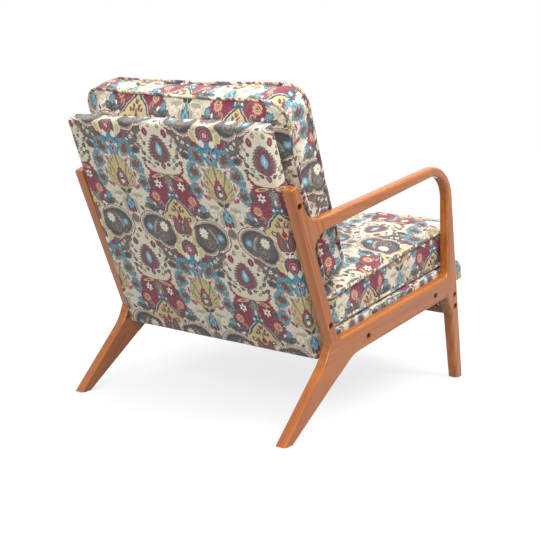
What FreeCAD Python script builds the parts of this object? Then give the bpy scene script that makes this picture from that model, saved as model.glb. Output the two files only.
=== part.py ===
import FreeCAD, Part
import math
import os
import re

import Sketcher
from FreeCAD import Placement, Rotation, Vector

# Accent chair with two wooden side frames, an upholstered back panel and seat deck, and loose boxed
# cushions. Millimetres and degrees. +Z is up, the chair faces -Y, +X is the sitter's left, and the
# origin is on the floor under the middle of the chair.
#
# Four frames share the X axis. In each of them -Y is forwards and +Z is up the piece:
#   floor  upright, at the rear foot's back edge
#   seat   tilted like the seat, on the side rail's underside
#   post   leaning like the back post, where the post's back edge meets the side rail
#   panel  leaning like the back panel, at the panel's rear bottom edge

SIZES = (
    # Whole chair
    ("overall_width", 670.0),
    ("rear_foot_back", 376.75),
    ("seat_tilt_angle", 9.4),
    ("post_lean_angle", 22.6),
    ("panel_lean_angle", 20.48),
    ("running_gap", 0.3),
    ("fit_gap", 0.1),
    ("overrun", 5.0),
    # Side frames: all wooden pieces of one side lie in one thickness
    ("frame_thickness", 27.0),
    ("seat_origin_forward", 200.0),
    ("seat_origin_height", 149.5),
    ("rail_depth", 54.3),
    ("leg_front", 514.0),
    ("shoulder_depth", 56.5),
    ("neck_width", 42.0),
    ("neck_radius", 13.0),
    ("leg_top_width", 23.0),
    ("knee_width", 38.0),
    ("knee_drop", 45.0),
    ("knee_radius", 120.0),
    ("leg_foot_width", 31.0),
    ("arm_height", 342.0),
    ("arm_rear_depth", 34.5),
    ("arm_front_depth", 21.2),
    ("arm_joint_drop", 97.0),
    ("arm_outer_radius", 88.0),
    ("arm_inner_radius", 65.0),
    ("post_seat_back", 24.5),
    ("post_width", 26.5),
    ("post_length", 379.0),
    ("post_top_radius", 4.5),
    ("knuckle_reach", 41.0),
    ("knuckle_upper_radius", 50.0),
    ("knuckle_lower_radius", 32.0),
    ("rear_leg_foot_width", 32.9),
    ("rear_leg_back_angle", 43.7),
    ("rear_leg_front_angle", 54.36),
    ("scarf_height", 122.0),
    ("elbow_height", 161.0),
    ("elbow_back_radius", 130.0),
    ("elbow_front_radius", 90.0),
    ("rail_round_start", 13.0),
    ("crest_edge_radius", 8.0),
    ("inner_edge_radius", 7.0),
    ("rail_edge_radius", 9.0),
    ("under_edge_radius", 3.0),
    ("post_edge_radius", 3.5),
    ("rear_leg_edge_radius", 4.5),
    # Dowels and foot glides
    ("dowel_diameter", 8.0),
    ("dowel_length", 40.0),
    ("dowel_end_gap", 1.0),
    ("pair_dowel_spacing", 13.0),
    ("knuckle_dowel_spacing", 14.0),
    ("rail_dowel_spacing", 24.0),
    ("scarf_dowel_spacing", 20.0),
    ("scarf_dowel_angle", 49.0),
    ("glide_diameter", 22.0),
    ("glide_thickness", 2.0),
    ("glide_stem_diameter", 6.0),
    ("glide_stem_length", 12.0),
    # Front apron
    ("apron_thickness", 22.0),
    ("apron_bottom", 57.0),
    ("apron_top", 8.0),
    ("apron_edge_radius", 2.0),
    # Bolts: six a side, their heads sunk in round recesses
    ("recess_diameter", 14.5),
    ("recess_depth", 12.0),
    ("bolt_diameter", 6.0),
    ("bolt_length", 40.0),
    ("bolt_head_diameter", 10.0),
    ("bolt_head_height", 6.0),
    ("bolt_socket_width", 5.0),
    ("bolt_socket_depth", 3.0),
    ("bolt_hole_diameter", 6.6),
    ("washer_diameter", 12.5),
    ("washer_thickness", 1.6),
    ("insert_diameter", 8.0),
    ("insert_length", 15.0),
    ("nut_diameter", 10.0),
    ("nut_length", 14.0),
    ("nut_inset", 20.0),
    ("spacer_diameter", 14.0),
    ("rail_bolt_height", 22.0),
    ("rail_bolt_rear", 115.0),
    ("rail_bolt_front", 407.0),
    ("leg_bolt_inset", 17.0),
    ("leg_bolt_upper_drop", 5.2),
    ("leg_bolt_lower_drop", 35.7),
    ("post_bolt_low", 39.3),
    ("post_bolt_high", 336.0),
    # Back panel
    ("panel_width", 600.0),
    ("panel_height", 558.0),
    ("panel_thickness", 38.0),
    ("panel_overhang", 18.9),
    ("panel_drop", 40.9),
    ("panel_edge_radius", 8.0),
    ("cover_thickness", 1.5),
    ("panel_edge_gap", 3.0),
    ("panel_rear_wadding", 2.5),
    ("panel_board_thickness", 3.0),
    ("panel_frame_thickness", 26.5),
    ("panel_stile_width", 40.0),
    ("panel_rail_width", 45.0),
    ("panel_middle_rail_height", 255.0),
    ("webbing_thickness", 1.5),
    ("webbing_width", 50.0),
    ("webbing_overlap", 20.0),
    ("webbing_count", 4),
    # Seat deck
    ("deck_rear", 10.0),
    ("deck_bottom", 8.3),
    ("deck_top", 65.5),
    ("deck_nose", 592.0),
    ("deck_nose_height", 24.0),
    ("deck_shoulder", 566.0),
    ("deck_nose_radius", 10.0),
    ("deck_corner_radius", 18.0),
    ("dust_cover_thickness", 1.0),
    ("deck_rail_top", 44.0),
    ("deck_rail_thickness", 22.0),
    ("deck_frame_front", 552.0),
    ("corner_block_leg", 45.0),
    ("spring_count", 5),
    ("spring_edge_gap", 3.1),
    ("spring_wire_diameter", 3.6),
    ("spring_half_width", 26.0),
    ("spring_bend_radius", 13.0),
    ("spring_landing", 9.0),
    ("clip_width", 20.0),
    ("clip_depth", 11.0),
    ("clip_height", 6.4),
    # Cushions: boxed, with piping in a gutter along both seams
    ("cushion_half_width", 300.0),
    ("cushion_cover_thickness", 2.0),
    ("piping_radius", 3.5),
    ("piping_inset", 1.0),
    ("boxing_bulge", 5.0),
    ("side_bow", 4.0),
    ("seat_cushion_rear", 4.0),
    ("seat_cushion_front", 583.0),
    ("seat_cushion_corner", 38.0),
    ("seat_cushion_rear_boxing", 68.0),
    ("seat_cushion_front_boxing", 88.0),
    ("seat_cushion_crown", 24.5),
    ("seat_cushion_base", 0.6),
    ("seat_cushion_base_inset", 6.0),
    ("back_cushion_height", 468.0),
    ("back_cushion_corner", 48.0),
    ("back_cushion_boxing", 75.0),
    ("back_cushion_rear_crown", 40.0),
    ("back_cushion_front_crown", 32.0),
)

# Where a crowned face passes, from its seam to the middle: how far in, as shares of half the distance
# between the cushion's ends, and how high, as shares of the crown.
CROWN_INSET_SHARES = (0.0, 0.08, 0.25, 0.5)
CROWN_HEIGHT_SHARES = (0.0, 0.42, 0.83, 1.0)
# How much a corner's radius grows for each millimetre that an outline is drawn in.
CORNER_GROWTH_SHARE = 0.5

# The bolts of one side, each with its frame and its place across and up in it.
BOLTS = {
    "PostLow": ("post", "-post_width / 2", "post_bolt_low"),
    "PostHigh": ("post", "-post_width / 2", "post_bolt_high"),
    "RailRear": ("seat", "-rail_bolt_rear", "rail_bolt_height"),
    "RailFront": ("seat", "-rail_bolt_front", "rail_bolt_height"),
    "LegUpper": ("seat", "apron_y", "-leg_bolt_upper_drop"),
    "LegLower": ("seat", "apron_y", "-leg_bolt_lower_drop"),
}
POST_BOLTS = ("PostLow", "PostHigh")
RAIL_BOLTS = ("RailRear", "RailFront")
LEG_BOLTS = ("LegUpper", "LegLower")
# The wooden pieces of one side, each with its frame, its dowelled joints and the place of its glide.
WOOD = {
    "FrontLeg": ("seat", ("Shoulder", "ArmLeg"), "front_foot_y"),
    "Armrest": ("seat", ("ArmLeg", "Knuckle"), ""),
    "BackPost": ("post", ("PostFoot", "Knuckle"), ""),
    "SideRail": ("seat", ("PostFoot", "Shoulder", "Scarf"), ""),
    "RearLeg": ("floor", ("Scarf",), "rear_foot_y"),
}

doc = FreeCAD.newDocument("AccentChair")
sizes = doc.addObject("Spreadsheet::Sheet", "Sizes")
layout = doc.addObject("Spreadsheet::Sheet", "Layout")
owners = {}
nodes = {}


def fill_sizes():
    for row, (alias, number) in enumerate(SIZES, start=1):
        sizes.set(f"A{row}", alias)
        sizes.set(f"B{row}", str(number))
        sizes.setAlias(f"B{row}", alias)
        owners[alias] = "Sizes."
    doc.recompute()


def formula(text, home=""):
    """A formula in plain names, with each name led by its sheet unless that is the home sheet."""
    def lead(match):
        owner = owners.get(match.group(0), "")
        return match.group(0) if owner == home else owner + match.group(0)
    return re.sub(r"[a-z_][a-z_0-9]*", lead, str(text))


def derive(alias, text):
    """Keeps a value that follows from the sizes, under its own name."""
    row = len([name for name in owners.values() if name == "Layout."]) + 1
    layout.set(f"A{row}", alias)
    layout.set(f"B{row}", "=" + formula(text, "Layout."))
    layout.setAlias(f"B{row}", alias)
    owners[alias] = "Layout."
    layout.recompute()


def value(text):
    return float(sizes.evalExpression(formula(text)))


def bind(item, prop, text):
    if text != "0":
        item.setExpression(prop, formula(text))


def derive_frame(name, y, z, lean):
    derive(name + "_frame_y", y)
    derive(name + "_frame_z", z)
    derive(name + "_lean", lean)


def carry(name, source, target, y, z):
    """Names the place, in the target frame, of a point that is known in the source frame."""
    derive(name + "_fy", f"{source}_frame_y + ({y}) * cos({source}_lean) + ({z}) * sin({source}_lean)")
    derive(name + "_fz", f"{source}_frame_z - ({y}) * sin({source}_lean) + ({z}) * cos({source}_lean)")
    across = f"({name}_fy - {target}_frame_y)"
    above = f"({name}_fz - {target}_frame_z)"
    derive(name + "_y", f"{across} * cos({target}_lean) - {above} * sin({target}_lean)")
    derive(name + "_z", f"{across} * sin({target}_lean) + {above} * cos({target}_lean)")


def derive_layout():
    derive("half_width", "overall_width / 2")
    derive("inner_face", "half_width - frame_thickness")
    derive("mid_thickness", "half_width - frame_thickness / 2")
    derive_frame("floor", "rear_foot_back", "0", "0")
    derive_frame("seat", "rear_foot_back - seat_origin_forward", "seat_origin_height", "seat_tilt_angle")
    carry("post_root", "seat", "floor", "post_seat_back", "rail_depth")
    derive_frame("post", "post_root_fy", "post_root_fz", "post_lean_angle")
    carry("panel_root", "post", "floor", "panel_overhang", "-panel_drop")
    derive_frame("panel", "panel_root_fy", "panel_root_fz", "panel_lean_angle")
    derive_arm()
    derive_legs()
    derive_upholstery()
    derive_bores()


def derive_arm():
    """The armrest's corners, and the knuckle on the post that carries it."""
    derive("post_swing", "post_lean_angle - seat_tilt_angle")
    derive("arm_joint_height", "arm_height - arm_joint_drop")
    derive("leg_taper", "(neck_width - leg_top_width) / (arm_joint_height - rail_depth)")
    derive("arm_corner_z", "arm_height - arm_front_depth")
    derive("arm_corner_y", "neck_width - leg_front - (arm_corner_z - rail_depth) * leg_taper")
    derive("knuckle_y", "post_width + knuckle_reach")
    derive("knuckle_top_z", "(arm_height - rail_depth - knuckle_y * sin(post_swing)) / cos(post_swing)")
    derive("knuckle_low_z", "knuckle_top_z - arm_rear_depth")
    carry("arm_top", "post", "seat", "-knuckle_y", "knuckle_top_z")
    carry("arm_low", "post", "seat", "-knuckle_y", "knuckle_low_z")
    derive("arm_rise", "(arm_corner_z - arm_low_z) / (arm_low_y - arm_corner_y)")
    derive("post_upper_z", "(arm_height - rail_depth - post_width * sin(post_swing)) / cos(post_swing)")
    derive("under_reach", "arm_low_y - post_seat_back + post_width * cos(post_swing)")
    derive("post_lower_z", "(arm_low_z + arm_rise * under_reach - rail_depth - post_width * sin(post_swing))"
                           " / (cos(post_swing) + arm_rise * sin(post_swing))")
    derive("post_foot_z", "-post_width * tan(post_swing)")


def derive_legs():
    """Feet, scarf joint and elbow. The wooden feet stop above the floor by the glides."""
    derive("foot_front_z", "(glide_thickness - seat_origin_height - leg_front * sin(seat_tilt_angle))"
                           " / cos(seat_tilt_angle)")
    derive("foot_back_z", "foot_front_z + leg_foot_width * tan(seat_tilt_angle)")
    carry("front_foot", "seat", "floor", "leg_foot_width / 2 - leg_front", "(foot_front_z + foot_back_z) / 2")
    derive("back_slope", "tan(rear_leg_back_angle)")
    derive("front_slope", "tan(rear_leg_front_angle)")
    derive("rear_foot_y", "-(rear_leg_foot_width + glide_thickness * (back_slope + front_slope)) / 2")
    derive("scarf_rear_reach", "scarf_height * back_slope")
    derive("scarf_fore_reach", "rear_leg_foot_width + scarf_height * front_slope")
    carry("scarf_rear", "floor", "seat", "-scarf_rear_reach", "scarf_height")
    carry("scarf_fore", "floor", "seat", "-scarf_fore_reach", "scarf_height")
    carry("elbow_rear", "floor", "seat", "-elbow_height * back_slope", "elbow_height")
    carry("foot_edge", "floor", "seat", "-rear_leg_foot_width", "0")
    derive("elbow_fore_y", "scarf_fore_y + scarf_fore_z * (scarf_fore_y - foot_edge_y)"
                           " / (foot_edge_z - scarf_fore_z)")


def derive_upholstery():
    """Sizes of the panel's and the deck's layers, each set from the layer that it lies on."""
    derive("panel_half", "panel_width / 2")
    derive("panel_in", "panel_half - cover_thickness - panel_edge_gap")
    derive("panel_low", "cover_thickness + panel_edge_gap")
    derive("panel_high", "panel_height - panel_low")
    derive("panel_board_q", "cover_thickness + panel_rear_wadding")
    derive("panel_frame_q", "panel_board_q + panel_board_thickness")
    derive("panel_web_q", "panel_frame_q + panel_frame_thickness")
    derive("panel_pad_q", "panel_web_q + webbing_thickness")
    derive("panel_front_q", "panel_thickness - cover_thickness")
    derive("stile_inner", "panel_in - panel_stile_width")
    derive("deck_half", "inner_face - running_gap")
    derive("deck_in", "deck_half - cover_thickness - fit_gap")
    derive("deck_inner", "deck_in - deck_rail_thickness")
    derive("spring_reach", "deck_inner - corner_block_leg - spring_half_width - spring_edge_gap")
    derive("spring_spacing", "2 * spring_reach / (spring_count - 1)")
    derive("deck_floor", "deck_bottom + dust_cover_thickness + fit_gap")
    derive("deck_back", "deck_rear + cover_thickness + fit_gap")
    derive("spring_level", "deck_rail_top + clip_height / 2")
    derive("deck_pad", "deck_rail_top + clip_height + fit_gap")
    derive("piping_room", "piping_radius + running_gap")
    derive("bolt_seat", "recess_depth - half_width")
    derive("apron_y", "leg_bolt_inset - leg_front")
    derive("nut_bore_depth", "(apron_thickness + nut_length) / 2 + dowel_end_gap")


def derive_bores():
    """Places of bores in pieces whose own frame isn't the one that the bore is known in."""
    for body, (frame, joints, glide_y) in WOOD.items():
        for joint in joints:
            for number, (source, (x, y, z), angle) in enumerate(dowel_places()[joint], start=1):
                carry(f"{body}_{joint}_{number}".lower(), source, frame, y, z)
        if glide_y:
            carry(body.lower() + "_glide", "floor", frame, glide_y, "glide_thickness + glide_stem_length / 2")
    for station in POST_BOLTS:
        source, y, z = BOLTS[station]
        carry("panel_" + station.lower(), source, "panel", y, z)


def frame_place(item, frame):
    item.Placement = Placement(Vector(), Rotation(Vector(1, 0, 0), -1))
    bind(item, "Placement.Base.y", frame + "_frame_y")
    bind(item, "Placement.Base.z", frame + "_frame_z")
    bind(item, "Placement.Rotation.Angle", f"-{frame}_lean")


def frame_placement(frame):
    base = Vector(0, value(frame + "_frame_y"), value(frame + "_frame_z"))
    return Placement(base, Rotation(Vector(1, 0, 0), -value(frame + "_lean")))


def new_body(name, frame):
    body = doc.addObject("PartDesign::Body", name)
    frame_place(body, frame)
    return body


def attach(item, body, role, offset, angle="0"):
    """Lays an item on one of its own body's planes, moved by an offset in the plane's axes."""
    plane = [feature for feature in body.Origin.OriginFeatures if feature.Role == role][0]
    item.AttachmentSupport = [(plane, "")]
    item.MapMode = "FlatFace"
    if angle != "0":
        item.AttachmentOffset = Placement(Vector(), Rotation(Vector(1, 0, 0), 1))
        bind(item, "AttachmentOffset.Rotation.Angle", angle)
    for axis, text in zip("xyz", offset):
        bind(item, "AttachmentOffset.Base." + axis, text)


def outline_sketch(body, name, points, level, role="YZ_Plane"):
    """A closed outline of straight lines whose corners follow the sizes."""
    sketch = body.newObject("Sketcher::SketchObject", name)
    attach(sketch, body, role, ("0", "0", level))
    corners = [Vector(value(first), value(second), 0) for first, second in points]
    count = len(corners)
    for number in range(count):
        sketch.addGeometry(Part.LineSegment(corners[number], corners[(number + 1) % count]), False)
    for number in range(count):
        sketch.addConstraint(Sketcher.Constraint("Coincident", number, 2, (number + 1) % count, 1))
    for number, pair in enumerate(points):
        for kind, text in zip(("DistanceX", "DistanceY"), pair):
            place = sketch.addConstraint(Sketcher.Constraint(kind, number, 1, value(text)))
            bind(sketch, f"Constraints[{place}]", text)
    return sketch


def pad(body, sketch, length):
    feature = body.newObject("PartDesign::Pad", sketch.Name + "Pad")
    feature.Profile = sketch
    bind(feature, "Length", length)
    doc.recompute()
    return feature


def side_pad(body, name, points):
    """Pads an outline through the thickness of the right side frame."""
    return pad(body, outline_sketch(body, name, points, "-half_width"), "frame_thickness")


def fillet(body, radius, name, wanted):
    """Rounds the edges of a body that the test picks by their middle, direction and length."""
    doc.recompute()
    base = body.Tip
    names = []
    for number, edge in enumerate(base.Shape.Edges, start=1):
        first, last = edge.ParameterRange
        if wanted(edge.valueAt((first + last) / 2), edge.tangentAt((first + last) / 2), edge.Length):
            names.append(f"Edge{number}")
    if not names:
        raise ValueError(f"{name} finds no edge")
    feature = body.newObject("PartDesign::Fillet", name)
    feature.Base = (base, names)
    bind(feature, "Radius", radius)
    doc.recompute()


def near(middle, place):
    return math.hypot(middle.y - value(place[0]), middle.z - value(place[1])) < value("running_gap")


def corners(*places):
    """Picks the crosswise edges that stand on corners of an outline."""
    return lambda middle, along, length: abs(along.x) > 0.99 and any(near(middle, place) for place in places)


def on_side(middle):
    """True on the outer and inner faces of the right side frame."""
    gap = value("running_gap")
    return abs(middle.x + value("half_width")) < gap or abs(middle.x + value("inner_face")) < gap


def cross_cylinder(body, kind, name, start, length, y, z, diameter):
    """A round bar or bore along X, from start towards +X."""
    item = body.newObject(kind, name)
    attach(item, body, "YZ_Plane", (y, z, start))
    bind(item, "Radius", f"({diameter}) / 2")
    bind(item, "Height", length)


def cross_bar(body, name, start, length, y, z, diameter):
    cross_cylinder(body, "PartDesign::AdditiveCylinder", name, start, length, y, z, diameter)


def cross_bore(body, name, start, length, y, z, diameter):
    cross_cylinder(body, "PartDesign::SubtractiveCylinder", name, start, length, y, z, diameter)


def rod(body, kind, name, place, angle, diameter, length):
    """A round bar or bore, centred on a place, whose axis leans from +Z towards -Y by an angle."""
    item = body.newObject(kind, name)
    x, y, z = place
    offset = (x, f"({y}) + ({length}) / 2 * sin({angle})", f"({z}) - ({length}) / 2 * cos({angle})")
    attach(item, body, "XY_Plane", offset, angle)
    bind(item, "Radius", f"({diameter}) / 2")
    bind(item, "Height", length)


def board(name, frame, x, y, z):
    """A rectangular block between two places on each axis of its frame."""
    body = new_body(name, frame)
    block = body.newObject("PartDesign::AdditiveBox", name + "Block")
    attach(block, body, "XY_Plane", (x[0], y[0], z[0]))
    for prop, (low, high) in zip(("Length", "Width", "Height"), (x, y, z)):
        bind(block, prop, f"({high}) - ({low})")
    doc.recompute()
    return body


def keep(node, item):
    item.Label = node
    nodes[node] = item


def keep_both(name, item):
    """Keeps a right-hand piece and its mirror image on the left."""
    keep("right_" + name, item)
    mirror = doc.addObject("Part::Mirroring", "Left" + item.Name)
    mirror.Source = item
    mirror.Normal = Vector(1, 0, 0)
    keep("left_" + name, mirror)


def group(name, items):
    compound = doc.addObject("Part::Compound", name)
    compound.Links = items
    return compound


def boolean(kind, name, base, tool):
    result = doc.addObject(kind, name)
    result.Base = base
    result.Tool = tool
    return result


def side_spans(outer, inner):
    """The right and the left span along X of a piece that lies between two distances from the middle."""
    return {"right": (f"-({outer})", f"-({inner})"), "left": (inner, outer)}


def dowel_places():
    """Each joint's dowels, as frame, place and angle, named by the joint."""
    offsets = {name: [f"{sign} {name}_dowel_spacing / 2" for sign in "+-"]
               for name in ("pair", "knuckle", "rail", "scarf")}
    middle = "-mid_thickness"
    return {
        "PostFoot": [("post", (middle + offset, "-post_width / 2", "post_foot_z / 2"), "0")
                     for offset in offsets["pair"]],
        "Knuckle": [("seat", (middle, "(arm_top_y + arm_low_y) / 2", f"(arm_top_z + arm_low_z) / 2 {offset}"), "90")
                    for offset in offsets["knuckle"]],
        "Shoulder": [("seat", (middle, "shoulder_depth - leg_front", f"rail_depth / 2 {offset}"), "90")
                     for offset in offsets["rail"]],
        "ArmLeg": [("seat", (middle + offset, "leg_top_width / 2 - leg_front", "arm_joint_height"), "0")
                   for offset in offsets["pair"]],
        "Scarf": [("floor", (middle, f"-(scarf_rear_reach + scarf_fore_reach) / 2 {offset}", "scarf_height"),
                   "scarf_dowel_angle") for offset in offsets["scarf"]],
    }


def bore_wood(body):
    """Bores a wooden piece for its halves of the dowelled joints, and a foot for its glide's stem."""
    frame, joints, glide_y = WOOD[body.Name]
    for joint in joints:
        for number, (source, (x, y, z), angle) in enumerate(dowel_places()[joint], start=1):
            name = f"{body.Name}_{joint}_{number}".lower()
            rod(body, "PartDesign::SubtractiveCylinder", f"{body.Name}{joint}Bore{number}",
                (x, name + "_y", name + "_z"), f"{angle} - {source}_lean + {frame}_lean",
                "dowel_diameter + 2 * fit_gap", "dowel_length + 2 * dowel_end_gap")
    if glide_y:
        name = body.Name.lower() + "_glide"
        rod(body, "PartDesign::SubtractiveCylinder", body.Name + "GlideBore",
            ("-mid_thickness", name + "_y", name + "_z"), frame + "_lean",
            "glide_stem_diameter + 2 * fit_gap", "glide_stem_length + 2 * dowel_end_gap")


def bore_bolts(body, names):
    """A bolt's hole through the side frame, with the recess that hides its head."""
    for name in names:
        frame, y, z = BOLTS[name]
        cross_bore(body, name + "Hole", "-half_width - overrun", "frame_thickness + 2 * overrun", y, z,
                   "bolt_hole_diameter")
        cross_bore(body, name + "Recess", "-half_width - overrun", "recess_depth + overrun", y, z,
                   "recess_diameter")


def build_front_leg():
    body = new_body("FrontLeg", "seat")
    neck = ("neck_width - leg_front", "rail_depth")
    knee = ("knee_width - leg_front", "-knee_drop")
    joint = "shoulder_depth - leg_front"
    side_pad(body, "FrontLegOutline", [
        ("-leg_front", "foot_front_z"), ("-leg_front", "arm_joint_height"),
        ("leg_top_width - leg_front", "arm_joint_height"), neck, (joint, "rail_depth"), (joint, "0"),
        knee, ("leg_foot_width - leg_front", "foot_back_z")])
    fillet(body, "neck_radius", "FrontLegNeck", corners(neck))
    fillet(body, "knee_radius", "FrontLegKnee", corners(knee))
    gap = value("running_gap")
    front = value("-leg_front")
    top = value("arm_joint_height")
    joint_y = value(joint)
    foot = value("foot_back_z")

    def front_edges(middle, along, length):
        return on_side(middle) and abs(middle.y - front) < gap

    def back_edges(middle, along, length):
        at_end = middle.z < foot + gap or abs(middle.z - top) < gap or abs(middle.y - joint_y) < gap
        return on_side(middle) and not at_end and middle.y > front + value("crest_edge_radius") + gap

    fillet(body, "crest_edge_radius", "FrontLegFrontRound", front_edges)
    fillet(body, "inner_edge_radius", "FrontLegBackRound", back_edges)
    bore_bolts(body, LEG_BOLTS)
    bore_wood(body)
    keep_both("front_leg", body)


def build_armrest():
    body = new_body("Armrest", "seat")
    outer = ("-leg_front", "arm_height")
    inner = ("arm_corner_y", "arm_corner_z")
    side_pad(body, "ArmrestOutline", [
        ("arm_top_y", "arm_top_z"), outer, ("-leg_front", "arm_joint_height"),
        ("leg_top_width - leg_front", "arm_joint_height"), inner, ("arm_low_y", "arm_low_z")])
    fillet(body, "arm_outer_radius", "ArmrestOuterBend", corners(outer))
    fillet(body, "arm_inner_radius", "ArmrestInnerBend", corners(inner))
    gap = value("running_gap")
    front = value("-leg_front")
    crest = value("arm_height")
    low = value("arm_joint_height")
    bend = value("arm_outer_radius")
    knuckle = (value("arm_top_y") + value("arm_low_y")) / 2

    def outer_edges(middle, along, length):
        reach = math.hypot(middle.y - front - bend, middle.z - crest + bend)
        on_bend = middle.y < front + bend and middle.z > crest - bend and abs(reach - bend) < gap
        return on_side(middle) and (abs(middle.y - front) < gap or abs(middle.z - crest) < gap or on_bend)

    def inner_edges(middle, along, length):
        at_end = abs(middle.z - low) < gap or abs(middle.y - knuckle) < gap
        round_start = crest - value("crest_edge_radius") - gap
        return on_side(middle) and not at_end and not outer_edges(middle, along, length) \
            and middle.z < round_start

    fillet(body, "crest_edge_radius", "ArmrestTopRound", outer_edges)
    fillet(body, "inner_edge_radius", "ArmrestUnderRound", inner_edges)
    bore_wood(body)
    keep_both("armrest", body)


def build_back_post():
    body = new_body("BackPost", "post")
    upper = ("-post_width", "post_upper_z")
    lower = ("-post_width", "post_lower_z")
    side_pad(body, "BackPostOutline", [
        ("0", "0"), ("0", "post_length"), ("-post_width", "post_length"), upper,
        ("-knuckle_y", "knuckle_top_z"), ("-knuckle_y", "knuckle_low_z"), lower,
        ("-post_width", "post_foot_z")])
    fillet(body, "knuckle_upper_radius", "BackPostUpperCove", corners(upper))
    fillet(body, "knuckle_lower_radius", "BackPostLowerCove", corners(lower))
    fillet(body, "post_top_radius", "BackPostTopRound",
           corners(("0", "post_length"), ("-post_width", "post_length")))
    reach = value("-knuckle_y")

    def long_edges(middle, along, length):
        return on_side(middle) and middle.z > 0 and abs(middle.y - reach) > value("running_gap")

    fillet(body, "post_edge_radius", "BackPostEdgeRound", long_edges)
    bore_bolts(body, POST_BOLTS)
    bore_wood(body)
    keep_both("back_post", body)


def build_side_rail():
    body = new_body("SideRail", "seat")
    joint = "shoulder_depth - leg_front"
    gap = value("running_gap")
    crest = value("rail_depth")
    side_pad(body, "SideRailBar", [
        ("-rail_round_start", "0"), (joint, "0"), (joint, "rail_depth"), ("-rail_round_start", "rail_depth")])
    fillet(body, "rail_edge_radius", "SideRailTopRound",
           lambda middle, along, length: on_side(middle) and abs(middle.z - crest) < gap)
    back = ("elbow_rear_y", "elbow_rear_z")
    front = ("elbow_fore_y", "0")
    side_pad(body, "SideRailElbow", [
        ("-rail_round_start", "rail_depth"), ("post_seat_back", "rail_depth"), back,
        ("scarf_rear_y", "scarf_rear_z"), ("scarf_fore_y", "scarf_fore_z"), front, ("-rail_round_start", "0")])
    fillet(body, "elbow_back_radius", "ElbowBackBend", corners(back))
    fillet(body, "elbow_front_radius", "ElbowFrontBend", corners(front))
    lean = math.radians(value("seat_lean"))
    scarf = value("scarf_height - seat_frame_z")
    scarf_top = value("scarf_rear_z")
    post_back = value("post_seat_back")
    joint_y = value(joint)

    def on_scarf(middle):
        return abs(middle.z * math.cos(lean) - middle.y * math.sin(lean) - scarf) < gap

    def back_edges(middle, along, length):
        return on_side(middle) and middle.y > post_back and middle.z > scarf_top and not on_scarf(middle)

    def under_edges(middle, along, length):
        at_joint = abs(middle.y - joint_y) < gap
        return on_side(middle) and middle.z < gap and not on_scarf(middle) and not at_joint \
            and not back_edges(middle, along, length)

    fillet(body, "rear_leg_edge_radius", "ElbowBackRound", back_edges)
    fillet(body, "under_edge_radius", "SideRailUnderRound", under_edges)
    bore_bolts(body, RAIL_BOLTS)
    bore_wood(body)
    keep_both("side_rail", body)


def build_rear_leg():
    body = new_body("RearLeg", "floor")
    side_pad(body, "RearLegOutline", [
        ("-glide_thickness * back_slope", "glide_thickness"), ("-scarf_rear_reach", "scarf_height"),
        ("-scarf_fore_reach", "scarf_height"),
        ("-rear_leg_foot_width - glide_thickness * front_slope", "glide_thickness")])
    foot = value("glide_thickness + running_gap")
    top = value("scarf_height - running_gap")
    fillet(body, "rear_leg_edge_radius", "RearLegRound",
           lambda middle, along, length: on_side(middle) and foot < middle.z < top)
    bore_wood(body)
    keep_both("rear_leg", body)


def build_glides():
    glides = []
    for name, y in (("FrontGlide", "front_foot_y"), ("RearGlide", "rear_foot_y")):
        body = new_body(name, "floor")
        for part, z, diameter, length in (
                ("Disc", "glide_thickness / 2", "glide_diameter", "glide_thickness"),
                ("Stem", "glide_thickness + glide_stem_length / 2", "glide_stem_diameter", "glide_stem_length")):
            rod(body, "PartDesign::AdditiveCylinder", name + part, ("-mid_thickness", y, z), "0", diameter, length)
        glides.append(body)
    keep_both("foot_glides", group("FootGlides", glides))


def build_dowels():
    dowels = []
    for joint, places in dowel_places().items():
        for number, (frame, place, angle) in enumerate(places, start=1):
            body = new_body(f"Dowel{joint}{number}", frame)
            rod(body, "PartDesign::AdditiveCylinder", body.Name + "Bar", place, angle, "dowel_diameter",
                "dowel_length")
            dowels.append(body)
    keep_both("frame_dowels", group("FrameDowels", dowels))


def build_apron():
    half = "apron_thickness / 2"
    body = board("FrontApron", "seat", ("-inner_face", "inner_face"),
                 (f"apron_y - {half}", f"apron_y + {half}"), ("-apron_bottom", "apron_top"))
    fillet(body, "apron_edge_radius", "FrontApronRound", lambda middle, along, length: abs(along.x) > 0.99)
    for side, start, nut_x in (("Right", "-inner_face - overrun", "nut_inset - inner_face"),
                               ("Left", "inner_face - 2 * nut_inset", "inner_face - nut_inset")):
        for name in LEG_BOLTS:
            frame, y, z = BOLTS[name]
            cross_bore(body, f"Apron{name}{side}", start, "2 * nut_inset + overrun", y, z, "bolt_hole_diameter")
            rod(body, "PartDesign::SubtractiveCylinder", f"ApronNut{name}{side}",
                (nut_x, f"{y} + {half} + (overrun - nut_bore_depth) / 2", z), "90",
                "nut_diameter + 2 * fit_gap", "nut_bore_depth + overrun")
    keep("front_apron", body)


def ring(name, station, start, length, outer, bore):
    """A round piece on a bolt's axis with a bore through it."""
    frame, y, z = BOLTS[station]
    body = new_body(name + station, frame)
    cross_bar(body, body.Name + "Round", start, length, y, z, outer)
    cross_bore(body, body.Name + "Bore", f"{start} - overrun", f"{length} + 2 * overrun", y, z, bore)
    return body


def build_bolt(station):
    frame, y, z = BOLTS[station]
    body = new_body("Bolt" + station, frame)
    under_head = "bolt_seat - washer_thickness"
    cross_bar(body, body.Name + "Shank", under_head, "bolt_length", y, z, "bolt_diameter")
    cross_bar(body, body.Name + "Head", under_head + " - bolt_head_height", "bolt_head_height", y, z,
              "bolt_head_diameter")
    socket = body.newObject("PartDesign::SubtractivePrism", body.Name + "Socket")
    socket.Polygon = 6
    attach(socket, body, "YZ_Plane", (y, z, under_head + " - bolt_head_height - overrun"))
    bind(socket, "Circumradius", "bolt_socket_width / sqrt(3)")
    bind(socket, "Height", "bolt_socket_depth + overrun")
    return body


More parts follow.
